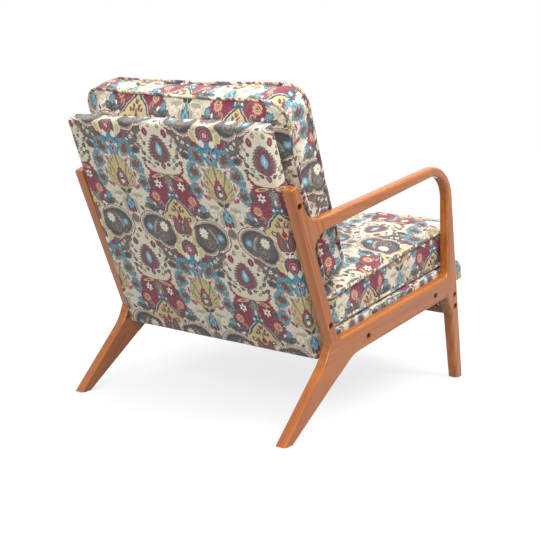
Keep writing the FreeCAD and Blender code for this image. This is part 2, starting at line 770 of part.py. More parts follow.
def build_nut(station):
    frame, y, z = BOLTS[station]
    body = new_body("Nut" + station, frame)
    rod(body, "PartDesign::AdditiveCylinder", body.Name + "Bar", ("nut_inset - inner_face", y, z), "90",
        "nut_diameter", "nut_length")
    cross_bore(body, body.Name + "Bore", "-inner_face", "2 * nut_inset", y, z, "bolt_diameter + 2 * fit_gap")
    return body


def build_fasteners():
    thread = "bolt_diameter + 2 * fit_gap"
    inserts = [("PostLow", "-panel_in"), ("PostHigh", "-panel_in"), ("RailRear", "-deck_in"),
               ("RailFront", "-deck_in")]
    families = {
        "frame_bolts": [build_bolt(station) for station in BOLTS],
        "bolt_washers": [ring("Washer", station, "bolt_seat - washer_thickness", "washer_thickness",
                              "washer_diameter", "bolt_hole_diameter") for station in BOLTS],
        "panel_spacers": [ring("Spacer", station, "-inner_face", "inner_face - panel_half",
                               "spacer_diameter", "bolt_hole_diameter") for station in POST_BOLTS],
        "threaded_inserts": [ring("Insert", station, start, "insert_length", "insert_diameter", thread)
                             for station, start in inserts],
        "barrel_nuts": [build_nut(station) for station in LEG_BOLTS],
    }
    for name, items in families.items():
        keep_both(name, group(name.title().replace("_", ""), items))


def through_rods(name, stations):
    """Rods right across the chair on the bolts' axes, which cut the bolt holes in both sides of a cover."""
    rods = []
    for station in stations:
        frame, y, z = BOLTS[station]
        body = new_body(name + station, frame)
        cross_bar(body, body.Name + "Rod", "-inner_face", "2 * inner_face", y, z, "bolt_hole_diameter")
        rods.append(body)
    return group(name, rods)


def bore_inserts(body, places, low, high):
    """Holes for the threaded inserts through a rail or stile between two places along X."""
    for number, (y, z) in enumerate(places, start=1):
        cross_bore(body, f"{body.Name}Insert{number}", f"{low} - overrun",
                   f"({high}) - ({low}) + 2 * overrun", y, z, "insert_diameter + 2 * fit_gap")


def panel_layer(name, x, low_q, high_q, z):
    return board(name, "panel", x, (f"-({high_q})", f"-({low_q})"), z)


def build_panel_frame():
    places = [(f"panel_{station.lower()}_y", f"panel_{station.lower()}_z") for station in POST_BOLTS]
    for side, x in side_spans("panel_in", "stile_inner").items():
        stile = panel_layer("PanelStile" + side.title(), x, "panel_frame_q", "panel_web_q",
                            ("panel_low", "panel_high"))
        bore_inserts(stile, places, *x)
        keep(f"back_panel_{side}_stile", stile)
    for name, base in (("bottom", "panel_low"), ("middle", "panel_middle_rail_height"),
                       ("top", "panel_high - panel_rail_width")):
        rail = panel_layer("PanelRail" + name.title(), ("-stile_inner", "stile_inner"), "panel_frame_q",
                           "panel_web_q", (base, base + " + panel_rail_width"))
        keep(f"back_panel_{name}_rail", rail)


def build_panel_layers():
    full = ("-panel_in", "panel_in")
    soft = ("panel_edge_radius - panel_half", "panel_half - panel_edge_radius")
    soft_z = ("panel_edge_radius", "panel_height - panel_edge_radius")
    keep("back_panel_rear_wadding",
         panel_layer("PanelRearWadding", soft, "cover_thickness", "panel_board_q", soft_z))
    keep("back_panel_board",
         panel_layer("PanelBoard", full, "panel_board_q", "panel_frame_q", ("panel_low", "panel_high")))
    keep("back_panel_front_wadding",
         panel_layer("PanelFrontWadding", soft, "panel_pad_q", "panel_front_q", soft_z))
    straps = []
    count = int(value("webbing_count"))
    span = ("-stile_inner - webbing_overlap", "stile_inner + webbing_overlap")
    for number in range(1, count + 1):
        base = f"panel_low + (panel_high - panel_low) * {number} / {count + 1} - webbing_width / 2"
        straps.append(panel_layer(f"PanelWebbing{number}", span, "panel_web_q", "panel_pad_q",
                                  (base, base + " + webbing_width")))
    keep("back_panel_webbing", group("PanelWebbing", straps))


def panel_block(name, inset):
    """The panel's whole block with rounded edges, its faces moved in by an inset."""
    body = panel_layer(name, (f"{inset} - panel_half", f"panel_half - {inset}"), inset,
                       f"panel_thickness - {inset}", (inset, f"panel_height - {inset}"))
    fillet(body, f"panel_edge_radius - {inset}", name + "Round", lambda middle, along, length: True)
    return body


def build_panel_cover():
    shell = boolean("Part::Cut", "PanelShell", panel_block("PanelOuter", "0"),
                    panel_block("PanelInner", "cover_thickness"))
    keep("back_panel_cover", boolean("Part::Cut", "PanelCover", shell, through_rods("PanelHoles", POST_BOLTS)))


def deck_section(name, inset, is_cavity):
    """The deck's lengthwise section with a rounded nose, its faces moved in by an inset."""
    body = new_body(name, "seat")
    rear = f"-deck_rear - {inset}"
    nose = f"{inset} - deck_nose"
    shoulder = (f"{inset} - deck_shoulder", f"deck_top - {inset}")
    bend = (nose, "deck_nose_height")
    chin = (nose, f"deck_bottom + {inset}")
    floor = [(rear, "-overrun"), ("-deck_frame_front - fit_gap", "-overrun"), ("-deck_frame_front - fit_gap", chin[1])]
    points = [shoulder, (rear, shoulder[1])] + (floor if is_cavity else [(rear, chin[1])]) + [chin, bend]
    pad(body, outline_sketch(body, name + "Outline", points, f"{inset} - deck_half"), f"2 * (deck_half - {inset})")
    fillet(body, f"deck_nose_radius - {inset}", name + "Nose", corners(shoulder, bend, chin))
    return body


def deck_plan(name, inset):
    """The deck's plan with rounded front corners."""
    body = board(name, "seat", (f"{inset} - deck_half", f"deck_half - {inset}"),
                 (f"{inset} - deck_nose", f"-deck_rear - {inset}"), ("-2 * overrun", "deck_top + overrun"))
    front = value(f"{inset} - deck_nose + running_gap")
    fillet(body, f"deck_corner_radius - {inset}", name + "Corners",
           lambda middle, along, length: abs(along.z) > 0.99 and middle.y < front)
    return body


def build_deck_cover():
    solids = []
    for name, inset, is_cavity in (("DeckOuter", "0", False), ("DeckInner", "cover_thickness", True)):
        section = deck_section(name + "Section", inset, is_cavity)
        solids.append(boolean("Part::Common", name, section, deck_plan(name + "Plan", inset)))
    shell = boolean("Part::Cut", "DeckShell", *solids)
    keep("deck_cover", boolean("Part::Cut", "DeckCover", shell, through_rods("DeckHoles", RAIL_BOLTS)))


def build_deck_frame():
    ends = ("-deck_frame_front", "-deck_back")
    depth = ("deck_floor", "deck_rail_top")
    across = ("-deck_inner", "deck_inner")
    for side, x in side_spans("deck_in", "deck_inner").items():
        rail = board("DeckRail" + side.title(), "seat", x, ends, depth)
        bore_inserts(rail, [BOLTS[station][1:] for station in RAIL_BOLTS], *x)
        keep(f"deck_{side}_rail", rail)
    keep("deck_rear_rail", board("DeckRailRear", "seat", across, ("-deck_back - deck_rail_thickness", "-deck_back"),
                                 depth))
    keep("deck_front_rail", board("DeckRailFront", "seat", across,
                                  ("-deck_frame_front", "deck_rail_thickness - deck_frame_front"), depth))
    keep("deck_dust_cover", board("DeckDustCover", "seat", ("-deck_in", "deck_in"), ends,
                                  ("deck_bottom", "deck_bottom + dust_cover_thickness")))
    blocks = []
    for side in "+-":
        for y, sign in (("-deck_back - deck_rail_thickness", "-"), ("deck_rail_thickness - deck_frame_front", "+")):
            body = new_body(f"CornerBlock{len(blocks) + 1}", "seat")
            corner_x = f"0 {side} deck_inner"
            points = [(corner_x, y), (f"0 {side} (deck_inner - corner_block_leg)", y),
                      (corner_x, f"{y} {sign} corner_block_leg")]
            pad(body, outline_sketch(body, body.Name + "Outline", points, "deck_floor", "XY_Plane"),
                "deck_rail_top - deck_floor")
            blocks.append(body)
    keep("deck_corner_blocks", group("CornerBlocks", blocks))


def build_deck_padding():
    across = ("-deck_in", "deck_in")
    keep("deck_foam", board("DeckFoam", "seat", across, ("-deck_frame_front", "-deck_back"),
                            ("deck_pad", "deck_top - cover_thickness - fit_gap")))
    keep("deck_edge_roll", board("DeckEdgeRoll", "seat", across,
                                 ("2 * deck_nose_radius - deck_nose",
                                  "-deck_frame_front - cover_thickness - fit_gap"),
                                 ("deck_bottom + cover_thickness + fit_gap", "deck_rail_top")))


def spring_shape(centre, first, last):
    """One sinuous spring: straight runs across, joined by half turns, between two places along Y."""
    wire = value("spring_wire_diameter")
    level = value("spring_level")
    turns = int((last - first) / value("2 * spring_bend_radius"))
    pitch = (last - first) / turns
    half = value("spring_half_width") - pitch / 2
    edges = []
    for turn in range(turns + 1):
        place = -first - turn * pitch
        side = 1 if turn % 2 == 0 else -1
        start = Vector(centre - side * half, place, level)
        end = Vector(centre + side * half, place, level)
        edges.append(Part.LineSegment(start, end).toShape())
        if turn < turns:
            middle = end + Vector(side * pitch / 2, -pitch / 2, 0)
            edges.append(Part.Arc(end, middle, end - Vector(0, pitch, 0)).toShape())
    start = Vector(centre - half, -first, level)
    section = Part.Wire(Part.makeCircle(wire / 2, start, Vector(1, 0, 0)))
    return Part.Wire(edges).makePipeShell([section], True, False)


def build_springs():
    springs = []
    clips = []
    ends = ("deck_back + spring_landing", "deck_frame_front - spring_landing")
    count = int(value("spring_count"))
    for number in range(1, count + 1):
        centre = f"({number} - {count + 1} / 2) * spring_spacing"
        spring = doc.addObject("Part::Feature", f"Spring{number}")
        spring.Shape = spring_shape(value(centre), value(ends[0]), value(ends[1]))
        frame_place(spring, "seat")
        springs.append(spring)
        for name, end in zip(("Rear", "Front"), ends):
            clip = board(f"SpringClip{number}{name}", "seat",
                         (f"{centre} - clip_width / 2", f"{centre} + clip_width / 2"),
                         (f"-({end}) - clip_depth / 2", f"-({end}) + clip_depth / 2"),
                         ("deck_rail_top", "deck_rail_top + clip_height"))
            cross_bore(clip, clip.Name + "Bore", f"{centre} - clip_width", "2 * clip_width", f"-({end})",
                       "spring_level", "spring_wire_diameter + 2 * fit_gap")
            clips.append(clip)
    keep("deck_springs", group("DeckSprings", springs))
    keep("deck_spring_clips", group("DeckSpringClips", clips))


def seat_point(x, along, across):
    return Vector(x, -along, across)


def back_point(x, along, across):
    return Vector(x, -across, along)


class Cushion:
    """A boxed cushion: a lower and an upper seam with piping, boxing between them, a crown beyond each.

    Along runs from the near to the far end, and across runs from the lower to the upper seam.
    """

    def __init__(self, point, along, corner_radius, level, boxing, crowns):
        self.point = point
        self.near_end, self.far_end = along
        self.corner_radius = corner_radius
        self.level = level
        self.near_boxing, self.far_boxing = boxing
        self.crowns = crowns
        self.half = value("cushion_half_width")
        self.room = value("piping_room")

    def seam(self, share):
        """The height along the lower seam's plane, at share 0, or the upper seam's, at share 1."""
        slope = (self.far_boxing - self.near_boxing) / (self.far_end - self.near_end) * share
        return lambda along: self.level + self.near_boxing * share + slope * (along - self.near_end)

    def outline(self, inset, height):
        """A rounded rectangle with drawn-in sides: eight arcs, each tangent to the next."""
        radius = self.corner_radius + inset * CORNER_GROWTH_SHARE
        side = self.half - inset
        low = self.near_end + inset
        high = self.far_end - inset
        bow_share = value("side_bow") / (self.half - self.corner_radius)
        long_bow = bow_share * ((high - low) / 2 - radius)
        wide_bow = bow_share * (side - radius)
        turn = math.pi / 4 + 2 * math.atan(bow_share)
        step = radius / 2 * (1 - math.tan(turn / 2))
        middle = (low + high) / 2
        right = [(side - step, low + step), (side, low + radius), (side - long_bow, middle),
                 (side, high - radius), (side - step, high - step)]
        left = [(-x, along) for x, along in reversed(right)]
        spots = right + [(side - radius, high), (0, high - wide_bow), (radius - side, high)]
        spots += left + [(radius - side, low), (0, low + wide_bow), (side - radius, low)]
        spots = spots[1:] + spots[:1]
        places = [self.point(x, along, height(along)) for x, along in spots]
        count = len(places)
        return Part.Wire([Part.Arc(*(places[(number + step) % count] for step in range(3))).toShape()
                          for number in range(0, count, 2)])

    def loft(self, sections, ruled=False):
        return Part.makeLoft([self.outline(inset, height) for inset, height in sections], True, ruled)

    def body(self, shrink):
        """The whole form, with every outer face moved in by an amount.

        Past the cover's own thickness, each crown starts lower by as much as the faces move in.
        """
        def lifted(share, lift):
            seam = self.seam(share)
            return lambda along: seam(along) + lift

        edge = self.room + shrink
        first = edge - 2 * max(shrink - value("cushion_cover_thickness"), 0)
        gutter_inset = value("piping_inset + running_gap") + self.room + shrink
        pieces = []
        for share, outward in ((0, -1), (1, 1)):
            depth, insets, rises = self.crowns[share]
            top = self.room + depth - shrink
            is_crowned = top > edge
            lifts = (outward * (first if is_crowned else top), -outward * edge)
            pieces.append(self.loft([(gutter_inset, lifted(share, lift)) for lift in lifts], True))
            if is_crowned:
                heights = [first] + [self.room + depth * rise - shrink for rise in rises[1:]]
                starts = [gutter_inset if shrink else 0.0] + [inset + shrink for inset in insets[1:]]
                pieces.append(self.loft([(start, lifted(share, outward * height))
                                         for start, height in zip(starts, heights)]))
        bottom, top = lifted(0, edge), lifted(1, -edge)
        pieces.append(self.loft([(shrink, bottom),
                                 (shrink - value("boxing_bulge"), lambda along: (bottom(along) + top(along)) / 2),
                                 (shrink, top)]))
        return pieces[0].fuse(pieces[1:])

    def piping(self):
        """The round piping along both seams, each ring swept level and then tilted to its seam."""
        middle = (self.near_end + self.far_end) / 2
        rings = []
        for share in (0, 1):
            seam = self.seam(share)
            path = self.outline(value("piping_inset"), lambda along: seam(middle))
            edge = path.OrderedEdges[0]
            start = edge.valueAt(edge.FirstParameter)
            section = Part.Wire(Part.makeCircle(value("piping_radius"), start, edge.tangentAt(edge.FirstParameter)))
            ring = path.makePipeShell([section], True, False)
            centre = self.point(0, middle, seam(middle))
            level = self.point(0, self.far_end, seam(middle)) - centre
            slanted = self.point(0, self.far_end, seam(self.far_end)) - centre
            ring.Placement = Placement(Vector(), Rotation(level, slanted), centre)
            rings.append(ring)
        return Part.makeCompound(rings)


def keep_cushion(node, shapes, frame):
    for name, shape in shapes.items():
        feature = doc.addObject("Part::Feature", f"{node}_{name}".title().replace("_", ""))
        feature.Shape = shape
        frame_place(feature, frame)
        keep(f"{node}_{name}", feature)


def cushion_shapes(cushion):
    wall = value("cushion_cover_thickness")
    return {"cover": cushion.body(0.0).cut(cushion.body(wall)),
            "fill": cushion.body(wall + value("running_gap")),
            "piping": cushion.piping()}


def crown(depth, along):
    insets = [share * (along[1] - along[0]) / 2 for share in CROWN_INSET_SHARES]
    return value(depth), insets, CROWN_HEIGHT_SHARES


def seat_cushion():
    along = (value("seat_cushion_rear"), value("seat_cushion_front"))
    underside = (value("seat_cushion_base"), (0.0, value("seat_cushion_base_inset")), (0.0, 1.0))
    return Cushion(seat_point, along, value("seat_cushion_corner"),
                   value("deck_top + running_gap + seat_cushion_base + piping_room"),
                   (value("seat_cushion_rear_boxing"), value("seat_cushion_front_boxing")),
                   (underside, crown("seat_cushion_crown", along)))


def back_cushion(lift):
    along = (lift, lift + value("back_cushion_height"))
    boxing = value("back_cushion_boxing")
    return Cushion(back_point, along, value("back_cushion_corner"),
                   value("panel_thickness + running_gap + back_cushion_rear_crown + piping_room"), (boxing, boxing),
                   (crown("back_cushion_rear_crown", along), crown("back_cushion_front_crown", along)))


def resting_lift(cushion, frame, support, start):
    """How far up its frame a cushion stands when, slid down from a start, it all but touches its support."""
    gap = value("running_gap")
    form = Part.makeCompound([cushion.body(0.0), cushion.piping()])
    lift = start
    spare = start
    while spare > gap / 3:
        form.Placement = frame_placement(frame) * Placement(Vector(0, 0, lift), Rotation())
        spare = form.distToShape(support)[0] - gap
        lift -= max(spare, 0)
    return lift


def build_cushions():
    seat = seat_cushion()
    keep_cushion("seat_cushion", cushion_shapes(seat), "seat")
    support = Part.makeCompound([seat.body(0.0), seat.piping()])
    support.Placement = frame_placement("seat")
    start = value("seat_cushion_front_boxing + deck_top + seat_cushion_crown")
    lift = resting_lift(back_cushion(0.0), "panel", support, start)
    keep_cushion("back_cushion", cushion_shapes(back_cushion(lift)), "panel")


def check_and_write():
    doc.recompute()
    for item in doc.Objects:
        if "Invalid" in item.State or "Error" in item.State:
            raise RuntimeError(f"{item.Name} failed: {item.State}")
    os.makedirs("parts", exist_ok=True)
    whole = FreeCAD.BoundBox()
    for node, item in nodes.items():
        shape = item.Shape
        if shape.isNull() or not shape.isValid():
            raise RuntimeError(f"{node} has no valid shape")
        shape.exportStep(f"parts/{node}.step")
        whole.add(shape.BoundBox)
        print(f"{node}: {len(shape.Solids)} solids, {shape.Volume / 1000:.1f} cm3")
    print(f"{len(nodes)} nodes, x {whole.XMin:.1f} to {whole.XMax:.1f}, y {whole.YMin:.1f} to {whole.YMax:.1f},"
          f" z {whole.ZMin:.1f} to {whole.ZMax:.1f}")


fill_sizes()
derive_layout()
build_front_leg()
build_armrest()
build_back_post()
build_side_rail()
build_rear_leg()
build_glides()
build_dowels()
build_apron()
build_fasteners()
build_panel_frame()
build_panel_layers()
build_panel_cover()
build_deck_frame()
build_deck_padding()
build_deck_cover()
build_springs()
build_cushions()
check_and_write()
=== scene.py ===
"""The looks of the accent chair: metres, +Z up, the chair faces -Y, its middle is at x = 0.

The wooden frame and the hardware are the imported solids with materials. The upholstery is modelled
here: the back panel, the seat deck and the two boxed cushions with their piping, in one printed cloth.
"""

import math

import bpy
from mathutils import Matrix, Vector, noise


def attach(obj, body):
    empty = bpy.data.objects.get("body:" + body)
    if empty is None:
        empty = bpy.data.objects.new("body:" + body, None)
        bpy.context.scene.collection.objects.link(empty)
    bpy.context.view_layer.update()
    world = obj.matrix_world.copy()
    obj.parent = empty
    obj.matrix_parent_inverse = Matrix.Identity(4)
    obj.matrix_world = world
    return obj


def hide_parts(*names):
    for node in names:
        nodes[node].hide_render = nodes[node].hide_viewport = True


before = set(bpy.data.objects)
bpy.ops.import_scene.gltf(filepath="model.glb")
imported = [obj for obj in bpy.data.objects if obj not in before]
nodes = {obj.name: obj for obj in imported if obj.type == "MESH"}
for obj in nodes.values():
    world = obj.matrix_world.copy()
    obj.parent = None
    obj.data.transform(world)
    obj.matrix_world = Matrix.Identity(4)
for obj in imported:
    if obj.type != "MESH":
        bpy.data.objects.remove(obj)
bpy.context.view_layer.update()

SEAT_ORIGIN = Vector((0, 0.17675, 0.1495))
SEAT_TILT = math.radians(9.4)
PANEL_ORIGIN = Vector((0, 0.21152, 0.15405))
PANEL_LEAN = math.radians(20.48)
MM = 0.001


def seat_at(x, along, across):
    """A place on the seat, in mm: along runs forward from the rear, across runs up from the rail's foot."""
    c, s = math.cos(SEAT_TILT), math.sin(SEAT_TILT)
    return SEAT_ORIGIN + Vector((x, across * s - along * c, along * s + across * c)) * MM


def panel_at(x, along, across):
    """A place at the back panel, in mm: along runs up it, across runs forward from its rear face."""
    c, s = math.cos(PANEL_LEAN), math.sin(PANEL_LEAN)
    return PANEL_ORIGIN + Vector((x, along * s - across * c, along * c + across * s)) * MM


# Materials


def colour(red, green, blue):
    """A display colour, 0 to 255, as the linear values that a shader takes."""
    levels = [level / 255 for level in (red, green, blue)]
    return [level / 12.92 if level <= 0.04045 else ((level + 0.055) / 1.055) ** 2.4 for level in levels] + [1]


class Graph:
    """Adds nodes to a tree. Sockets or plain values go in, and a socket comes out."""

    def __init__(self, tree):
        self.tree = tree

    def add(self, kind, sources=(), **settings):
        item = self.tree.nodes.new(kind)
        for name, setting in settings.items():
            setattr(item, name, setting)
        for key, source in sources.items() if isinstance(sources, dict) else enumerate(sources):
            if isinstance(source, bpy.types.NodeSocket):
                self.tree.links.new(source, item.inputs[key])
            elif source is not None:
                item.inputs[key].default_value = source
        return item

    def maths(self, operation, *sources):
        return self.add("ShaderNodeMath", sources, operation=operation).outputs[0]

    def vector(self, operation, *sources):
        item = self.add("ShaderNodeVectorMath", sources, operation=operation)
        return item.outputs["Value" if operation in ("LENGTH", "DOT_PRODUCT") else "Vector"]

    def split(self, source):
        return self.add("ShaderNodeSeparateXYZ", [source]).outputs

    def join(self, *sources):
        return self.add("ShaderNodeCombineXYZ", sources).outputs[0]

    def mix(self, factor, under, over, blend="MIX"):
        item = self.add("ShaderNodeMix", {0: factor, 6: under, 7: over}, data_type="RGBA", blend_type=blend)
        return item.outputs[2]

    def bands(self, source, stops, interpolation="CONSTANT"):
        """Colours by bands of a value from 0 to 1."""
        item = self.add("ShaderNodeValToRGB", [source])
        ramp = item.color_ramp
        ramp.interpolation = interpolation
        while len(ramp.elements) > 1:
            ramp.elements.remove(ramp.elements[-1])
        ramp.elements[0].position = stops[0][0]
        ramp.elements[0].color = stops[0][1]
        for place, shade in stops[1:]:
            ramp.elements.new(place).color = shade
        return item.outputs[0]

    def local(self, where, centre, size, turn=0.0):
        """Coordinates in which an ellipse at a centre, turned by degrees, is the unit circle.

        A place is (across, up, 1), so a dot product moves, turns and scales it. Past it, all sums are of
        plain numbers, since vectors of different kinds would overflow the renderer's shader memory.
        """
        c, s = math.cos(math.radians(turn)), math.sin(math.radians(turn))
        wide, high = size
        x, y = centre
        return (self.vector("DOT_PRODUCT", where, (c / wide, s / wide, -(x * c + y * s) / wide)),
                self.vector("DOT_PRODUCT", where, (-s / high, c / high, (x * s - y * c) / high)))

    def times(self, one, two):
        return self.maths("MULTIPLY", one, two)

    def times_plus(self, one, two, extra):
        return self.maths("MULTIPLY_ADD", one, two, extra)

    def square_reach(self, x, y):
        return self.times_plus(x, x, self.times(y, y))

    def inside(self, where, centre, size):
        """1 inside an ellipse."""
        return self.maths("LESS_THAN", self.square_reach(*self.local(where, centre, size)), 1.0)

    def noise(self, where, scale, detail=2.0, roughness=0.5, distortion=0.0, output=0):
        item = self.add("ShaderNodeTexNoise", {"Vector": where, "Scale": scale, "Detail": detail,
                                               "Roughness": roughness, "Distortion": distortion})
        return item.outputs[output]


IVORY = colour(222, 213, 190)
CREAM = colour(236, 230, 210)
STONE = colour(182, 172, 154)
TEAL = colour(82, 140, 160)
LIGHT_TEAL = colour(140, 186, 204)
DARK_TEAL = colour(58, 92, 106)
OCHRE = colour(212, 192, 132)
OLIVE = colour(138, 130, 108)
CRIMSON = colour(150, 44, 70)
BURGUNDY = colour(134, 50, 70)
PINK = colour(190, 122, 132)
CHARCOAL = colour(74, 74, 78)
GREY = colour(128, 124, 118)
MOSS = colour(98, 104, 98)
BROWN = colour(116, 94, 88)
MAUVE = colour(122, 78, 92)

PRINT_HEIGHT = 287.5
PRINT_HALF = 150.0


class Print:
    """A traditional flower print, painted motif by motif over an ivory ground.

    Columns of motifs stand PRINT_HALF apart, and each row of the pattern, PRINT_HEIGHT high, is the row
    under it moved along by one column. A place is (distance from the nearer column of the first kind,
    height in the row), so every motif is mirrored about its column. Motifs near a row's foot are
    painted in rows that start half a height lower.
    """

    def __init__(self, graph, cloth):
        self.graph = graph
        wobble = graph.vector("SUBTRACT", graph.noise(cloth, 0.16, 3.0, 0.6, output=1), (0.5, 0.5, 0.5))
        self.cloth = graph.vector("MULTIPLY_ADD", wobble, (7.0, 7.0, 0), cloth)
        self.row = self.fold(0.0)
        self.low_row = self.fold(0.5)
        self.paint = None
        self.speckle = graph.noise(cloth, 0.42, 2.0, 0.6)
        self.lines = graph.noise(cloth, 0.2, 2.0, 0.5)

    def fold(self, shift):
        """A row's places, and their distance from the nearer column of either kind and height as numbers."""
        graph = self.graph
        along, up, _ = graph.split(self.cloth)
        number = graph.maths("FLOOR", graph.times_plus(up, 1 / PRINT_HEIGHT, shift))
        height = graph.times_plus(number, -PRINT_HEIGHT, up)
        side = graph.maths("PINGPONG", graph.times_plus(number, -PRINT_HALF, along), PRINT_HALF)
        place = graph.join(side, height, 1.0)
        return (place, graph.vector("DOT_PRODUCT", place, (1.0, 0.0, 0.0)),
                graph.vector("DOT_PRODUCT", place, (-1.0, 0.0, PRINT_HALF)),
                graph.vector("DOT_PRODUCT", place, (0.0, 1.0, 0.0)))

    def lay(self, mask, shade):
        self.paint = self.graph.mix(mask, self.paint, shade)

    def placed(self, stops, reach=1.0, power=1):
        """Bands with their places worked out. The first is a colour alone, and starts at 0."""
        return [(0.0, stops[0])] + [((place / reach) ** power, shade) for place, shade in stops[1:]]

    def fill(self, reach, stops, power=1):
        """Paints a form in bands, from its middle, where its reach is 0, to its edge at 1."""
        bands = self.graph.bands(reach, self.placed(stops, power=power))
        self.lay(self.graph.maths("LESS_THAN", reach, 1.0), bands)

    def spot(self, row, centre, size, stops, turn=0.0):
        """An ellipse of nested bands, from its middle at 0 to its edge at 1."""
        graph = self.graph
        self.fill(graph.square_reach(*graph.local(row[0], centre, size, turn)), stops, 2)

    def petal(self, row, centre, size, stops, turn=0.0, taper=0.5, jag=0.0):
        """A leaf pointed at both ends. It is broader below, or above with a negative taper."""
        graph = self.graph
        x, y = graph.local(row[0], centre, size, turn)
        lean = graph.maths("MAXIMUM", graph.times_plus(y, taper, 1.0), 0.3)
        wide = graph.times(graph.maths("ABSOLUTE", x), lean)
        reach = graph.times_plus(y, y, wide)
        if jag:
            wave = graph.maths("SINE", graph.times_plus(x, 13.0, graph.times(y, 9.0)))
            reach = graph.times_plus(wave, jag, reach)
        self.fill(reach, stops)

    def flower(self, row, centre, size, petals, depth, stops, turn=0.0):
        """A round or oval flower with rounded petals."""
        graph = self.graph
        x, y = graph.local(row[0], centre, size if isinstance(size, tuple) else (size, size), turn)
        wave = graph.maths("COSINE", graph.times(graph.maths("ARCTAN2", x, y), float(petals)))
        edge = graph.times_plus(wave, 2 * depth, 1.0 - 2 * depth)
        self.fill(graph.maths("DIVIDE", graph.square_reach(x, y), edge), stops, 2)

    def column(self, kind, points, stops, reach=40.0, frill=0.0):
        """A form mirrored about the columns of kind 0 or 1.

        Points are half-widths by height, and stops are bands by the distance in from the edge.
        """
        graph = self.graph
        _, *sides, height = self.row
        low, high = points[0][0], points[-1][0]
        share = graph.times_plus(height, 1 / (high - low), -low / (high - low))
        curve = graph.add("ShaderNodeFloatCurve", [1.0, share])
        widest = max(width for _, width in points)
        line = curve.mapping.curves[0]
        while len(line.points) < len(points):
            line.points.new(0.5, 0.5)
        for point, (level, width) in zip(line.points, points):
            point.location = ((level - low) / (high - low), width / widest)
            point.handle_type = "AUTO_CLAMPED"
        curve.mapping.update()
        inset = graph.maths("SUBTRACT", graph.times(curve.outputs[0], widest), sides[kind])
        if frill:
            wave = graph.maths("SINE", graph.times(height, 0.9))
            inset = graph.times_plus(wave, frill, inset)
        within = graph.maths("COMPARE", share, 0.5, 0.4999)
        mask = graph.times(graph.maths("GREATER_THAN", inset, 0.0), within)
        self.lay(mask, graph.bands(graph.maths("DIVIDE", inset, reach), self.placed(stops, reach)))
        return inset, mask

    def veins(self, mask, *lines):
        """Fine wandering lines within a mask, each given as a level of the noise, its width and its colour."""
        graph = self.graph
        for level, width, shade in lines:
            near = graph.maths("COMPARE", self.lines, level, width)
            self.lay(graph.times(near, mask), shade)

    def specks(self, mask, level, shade):
        graph = self.graph
        self.lay(graph.times(graph.maths("GREATER_THAN", self.speckle, level), mask), shade)

    def whole(self):
        """The whole print's colour."""
        graph = self.graph
        self.paint = graph.bands(self.lines, [(0.0, CREAM), (0.42, IVORY), (0.6, CREAM)])
        everywhere = graph.maths("COMPARE", self.lines, 0.5, 0.5)
        self.veins(everywhere, (0.565, 0.006, GREY), (0.36, 0.006, PINK))
        self.foliage()
        self.field()
        self.dome()
        self.heart()
        self.crown()
        self.fan()
        self.tulip()
        return self.paint

    def foliage(self):
        """The dark paisleys and leaves between the columns, and the rosettes."""
        graph, row, low = self.graph, self.row, self.low_row
        edge = [CHARCOAL, (0.74, OLIVE), (0.78, STONE), (0.85, BROWN), (0.875, CREAM), (0.93, CRIMSON)]
        far_edge = [CHARCOAL, (0.77, OLIVE), (0.8, STONE), (0.865, BROWN), (0.885, CREAM),
                    (0.94, CRIMSON)]
        self.flower(low, (60, -30), (22, 20), 9, 0.06, [CHARCOAL, (0.5, MOSS), (0.92, CRIMSON)])
        self.flower(low, (84, -54), (29, 23), 13, 0.05, [CHARCOAL, (0.5, MOSS), (0.66, CHARCOAL),
                                                         (0.94, CRIMSON)], -8)
        self.petal(low, (98, -74), (10, 20), [CHARCOAL, (0.7, MOSS), (0.85, CRIMSON)], 24, 0.5, 0.1)
        leaves = graph.inside(low[0], (80, -48), (32, 26))
        self.specks(leaves, 0.56, GREY)
        self.veins(leaves, (0.52, 0.02, OLIVE))
        for place, size in (((80, -56), 9), ((94, -62), 6.5), ((70, -47), 7), ((86, -44), 5)):
            self.flower(low, place, size, 6, 0.2, [OLIVE, (0.25, CREAM), (0.7, CHARCOAL)])
        self.flower(low, (64, 9), (55, 42), 36, 0.02, far_edge)
        self.flower(low, (88, -5), 41, 28, 0.025, edge)
        self.spot(low, (92, 20), (22, 14), [CHARCOAL], -12)
        self.spot(low, (78, -10), (16, 15), [OLIVE, (0.42, CHARCOAL), (0.7, GREY)])
        inside = graph.inside(low[0], (72, 4), (44, 31))
        self.veins(inside, (0.5, 0.024, BROWN), (0.42, 0.016, MOSS), (0.58, 0.02, GREY))
        self.spot(low, (49, -14), (12, 8), [MOSS, (0.8, CHARCOAL)], -30)
        self.flower(low, (88, 14), 15, 10, 0.14, [OCHRE, (0.2, CREAM), (0.92, OLIVE)], 10)
        self.flower(low, (41, 8), 12.5, 8, 0.1, [OCHRE, (0.26, LIGHT_TEAL), (0.6, TEAL),
                                                 (0.92, DARK_TEAL)])
        self.petal(row, (73, 201), (10, 18), [CHARCOAL, (0.6, GREY), (0.72, CHARCOAL), (0.9, PINK)],
                   -74, -0.4, 0.08)
        # Ribbons beside the rosette
        self.petal(low, (127, -12), (5, 18), [OCHRE, (0.7, STONE)], 8)
        self.petal(low, (116, -40), (9, 17), [OCHRE, (0.8, CREAM)], 20, -0.4)
        self.petal(low, (112, -56), (6, 13), [CRIMSON, (0.8, CHARCOAL)], 62)
        rosette = [LIGHT_TEAL, (0.16, CREAM), (0.22, CRIMSON), (0.4, PINK), (0.5, CRIMSON), (0.64, MOSS),
                   (0.78, MAUVE), (0.9, CHARCOAL)]
        self.flower(low, (150, -35), 24.5, 18, 0.03, rosette)

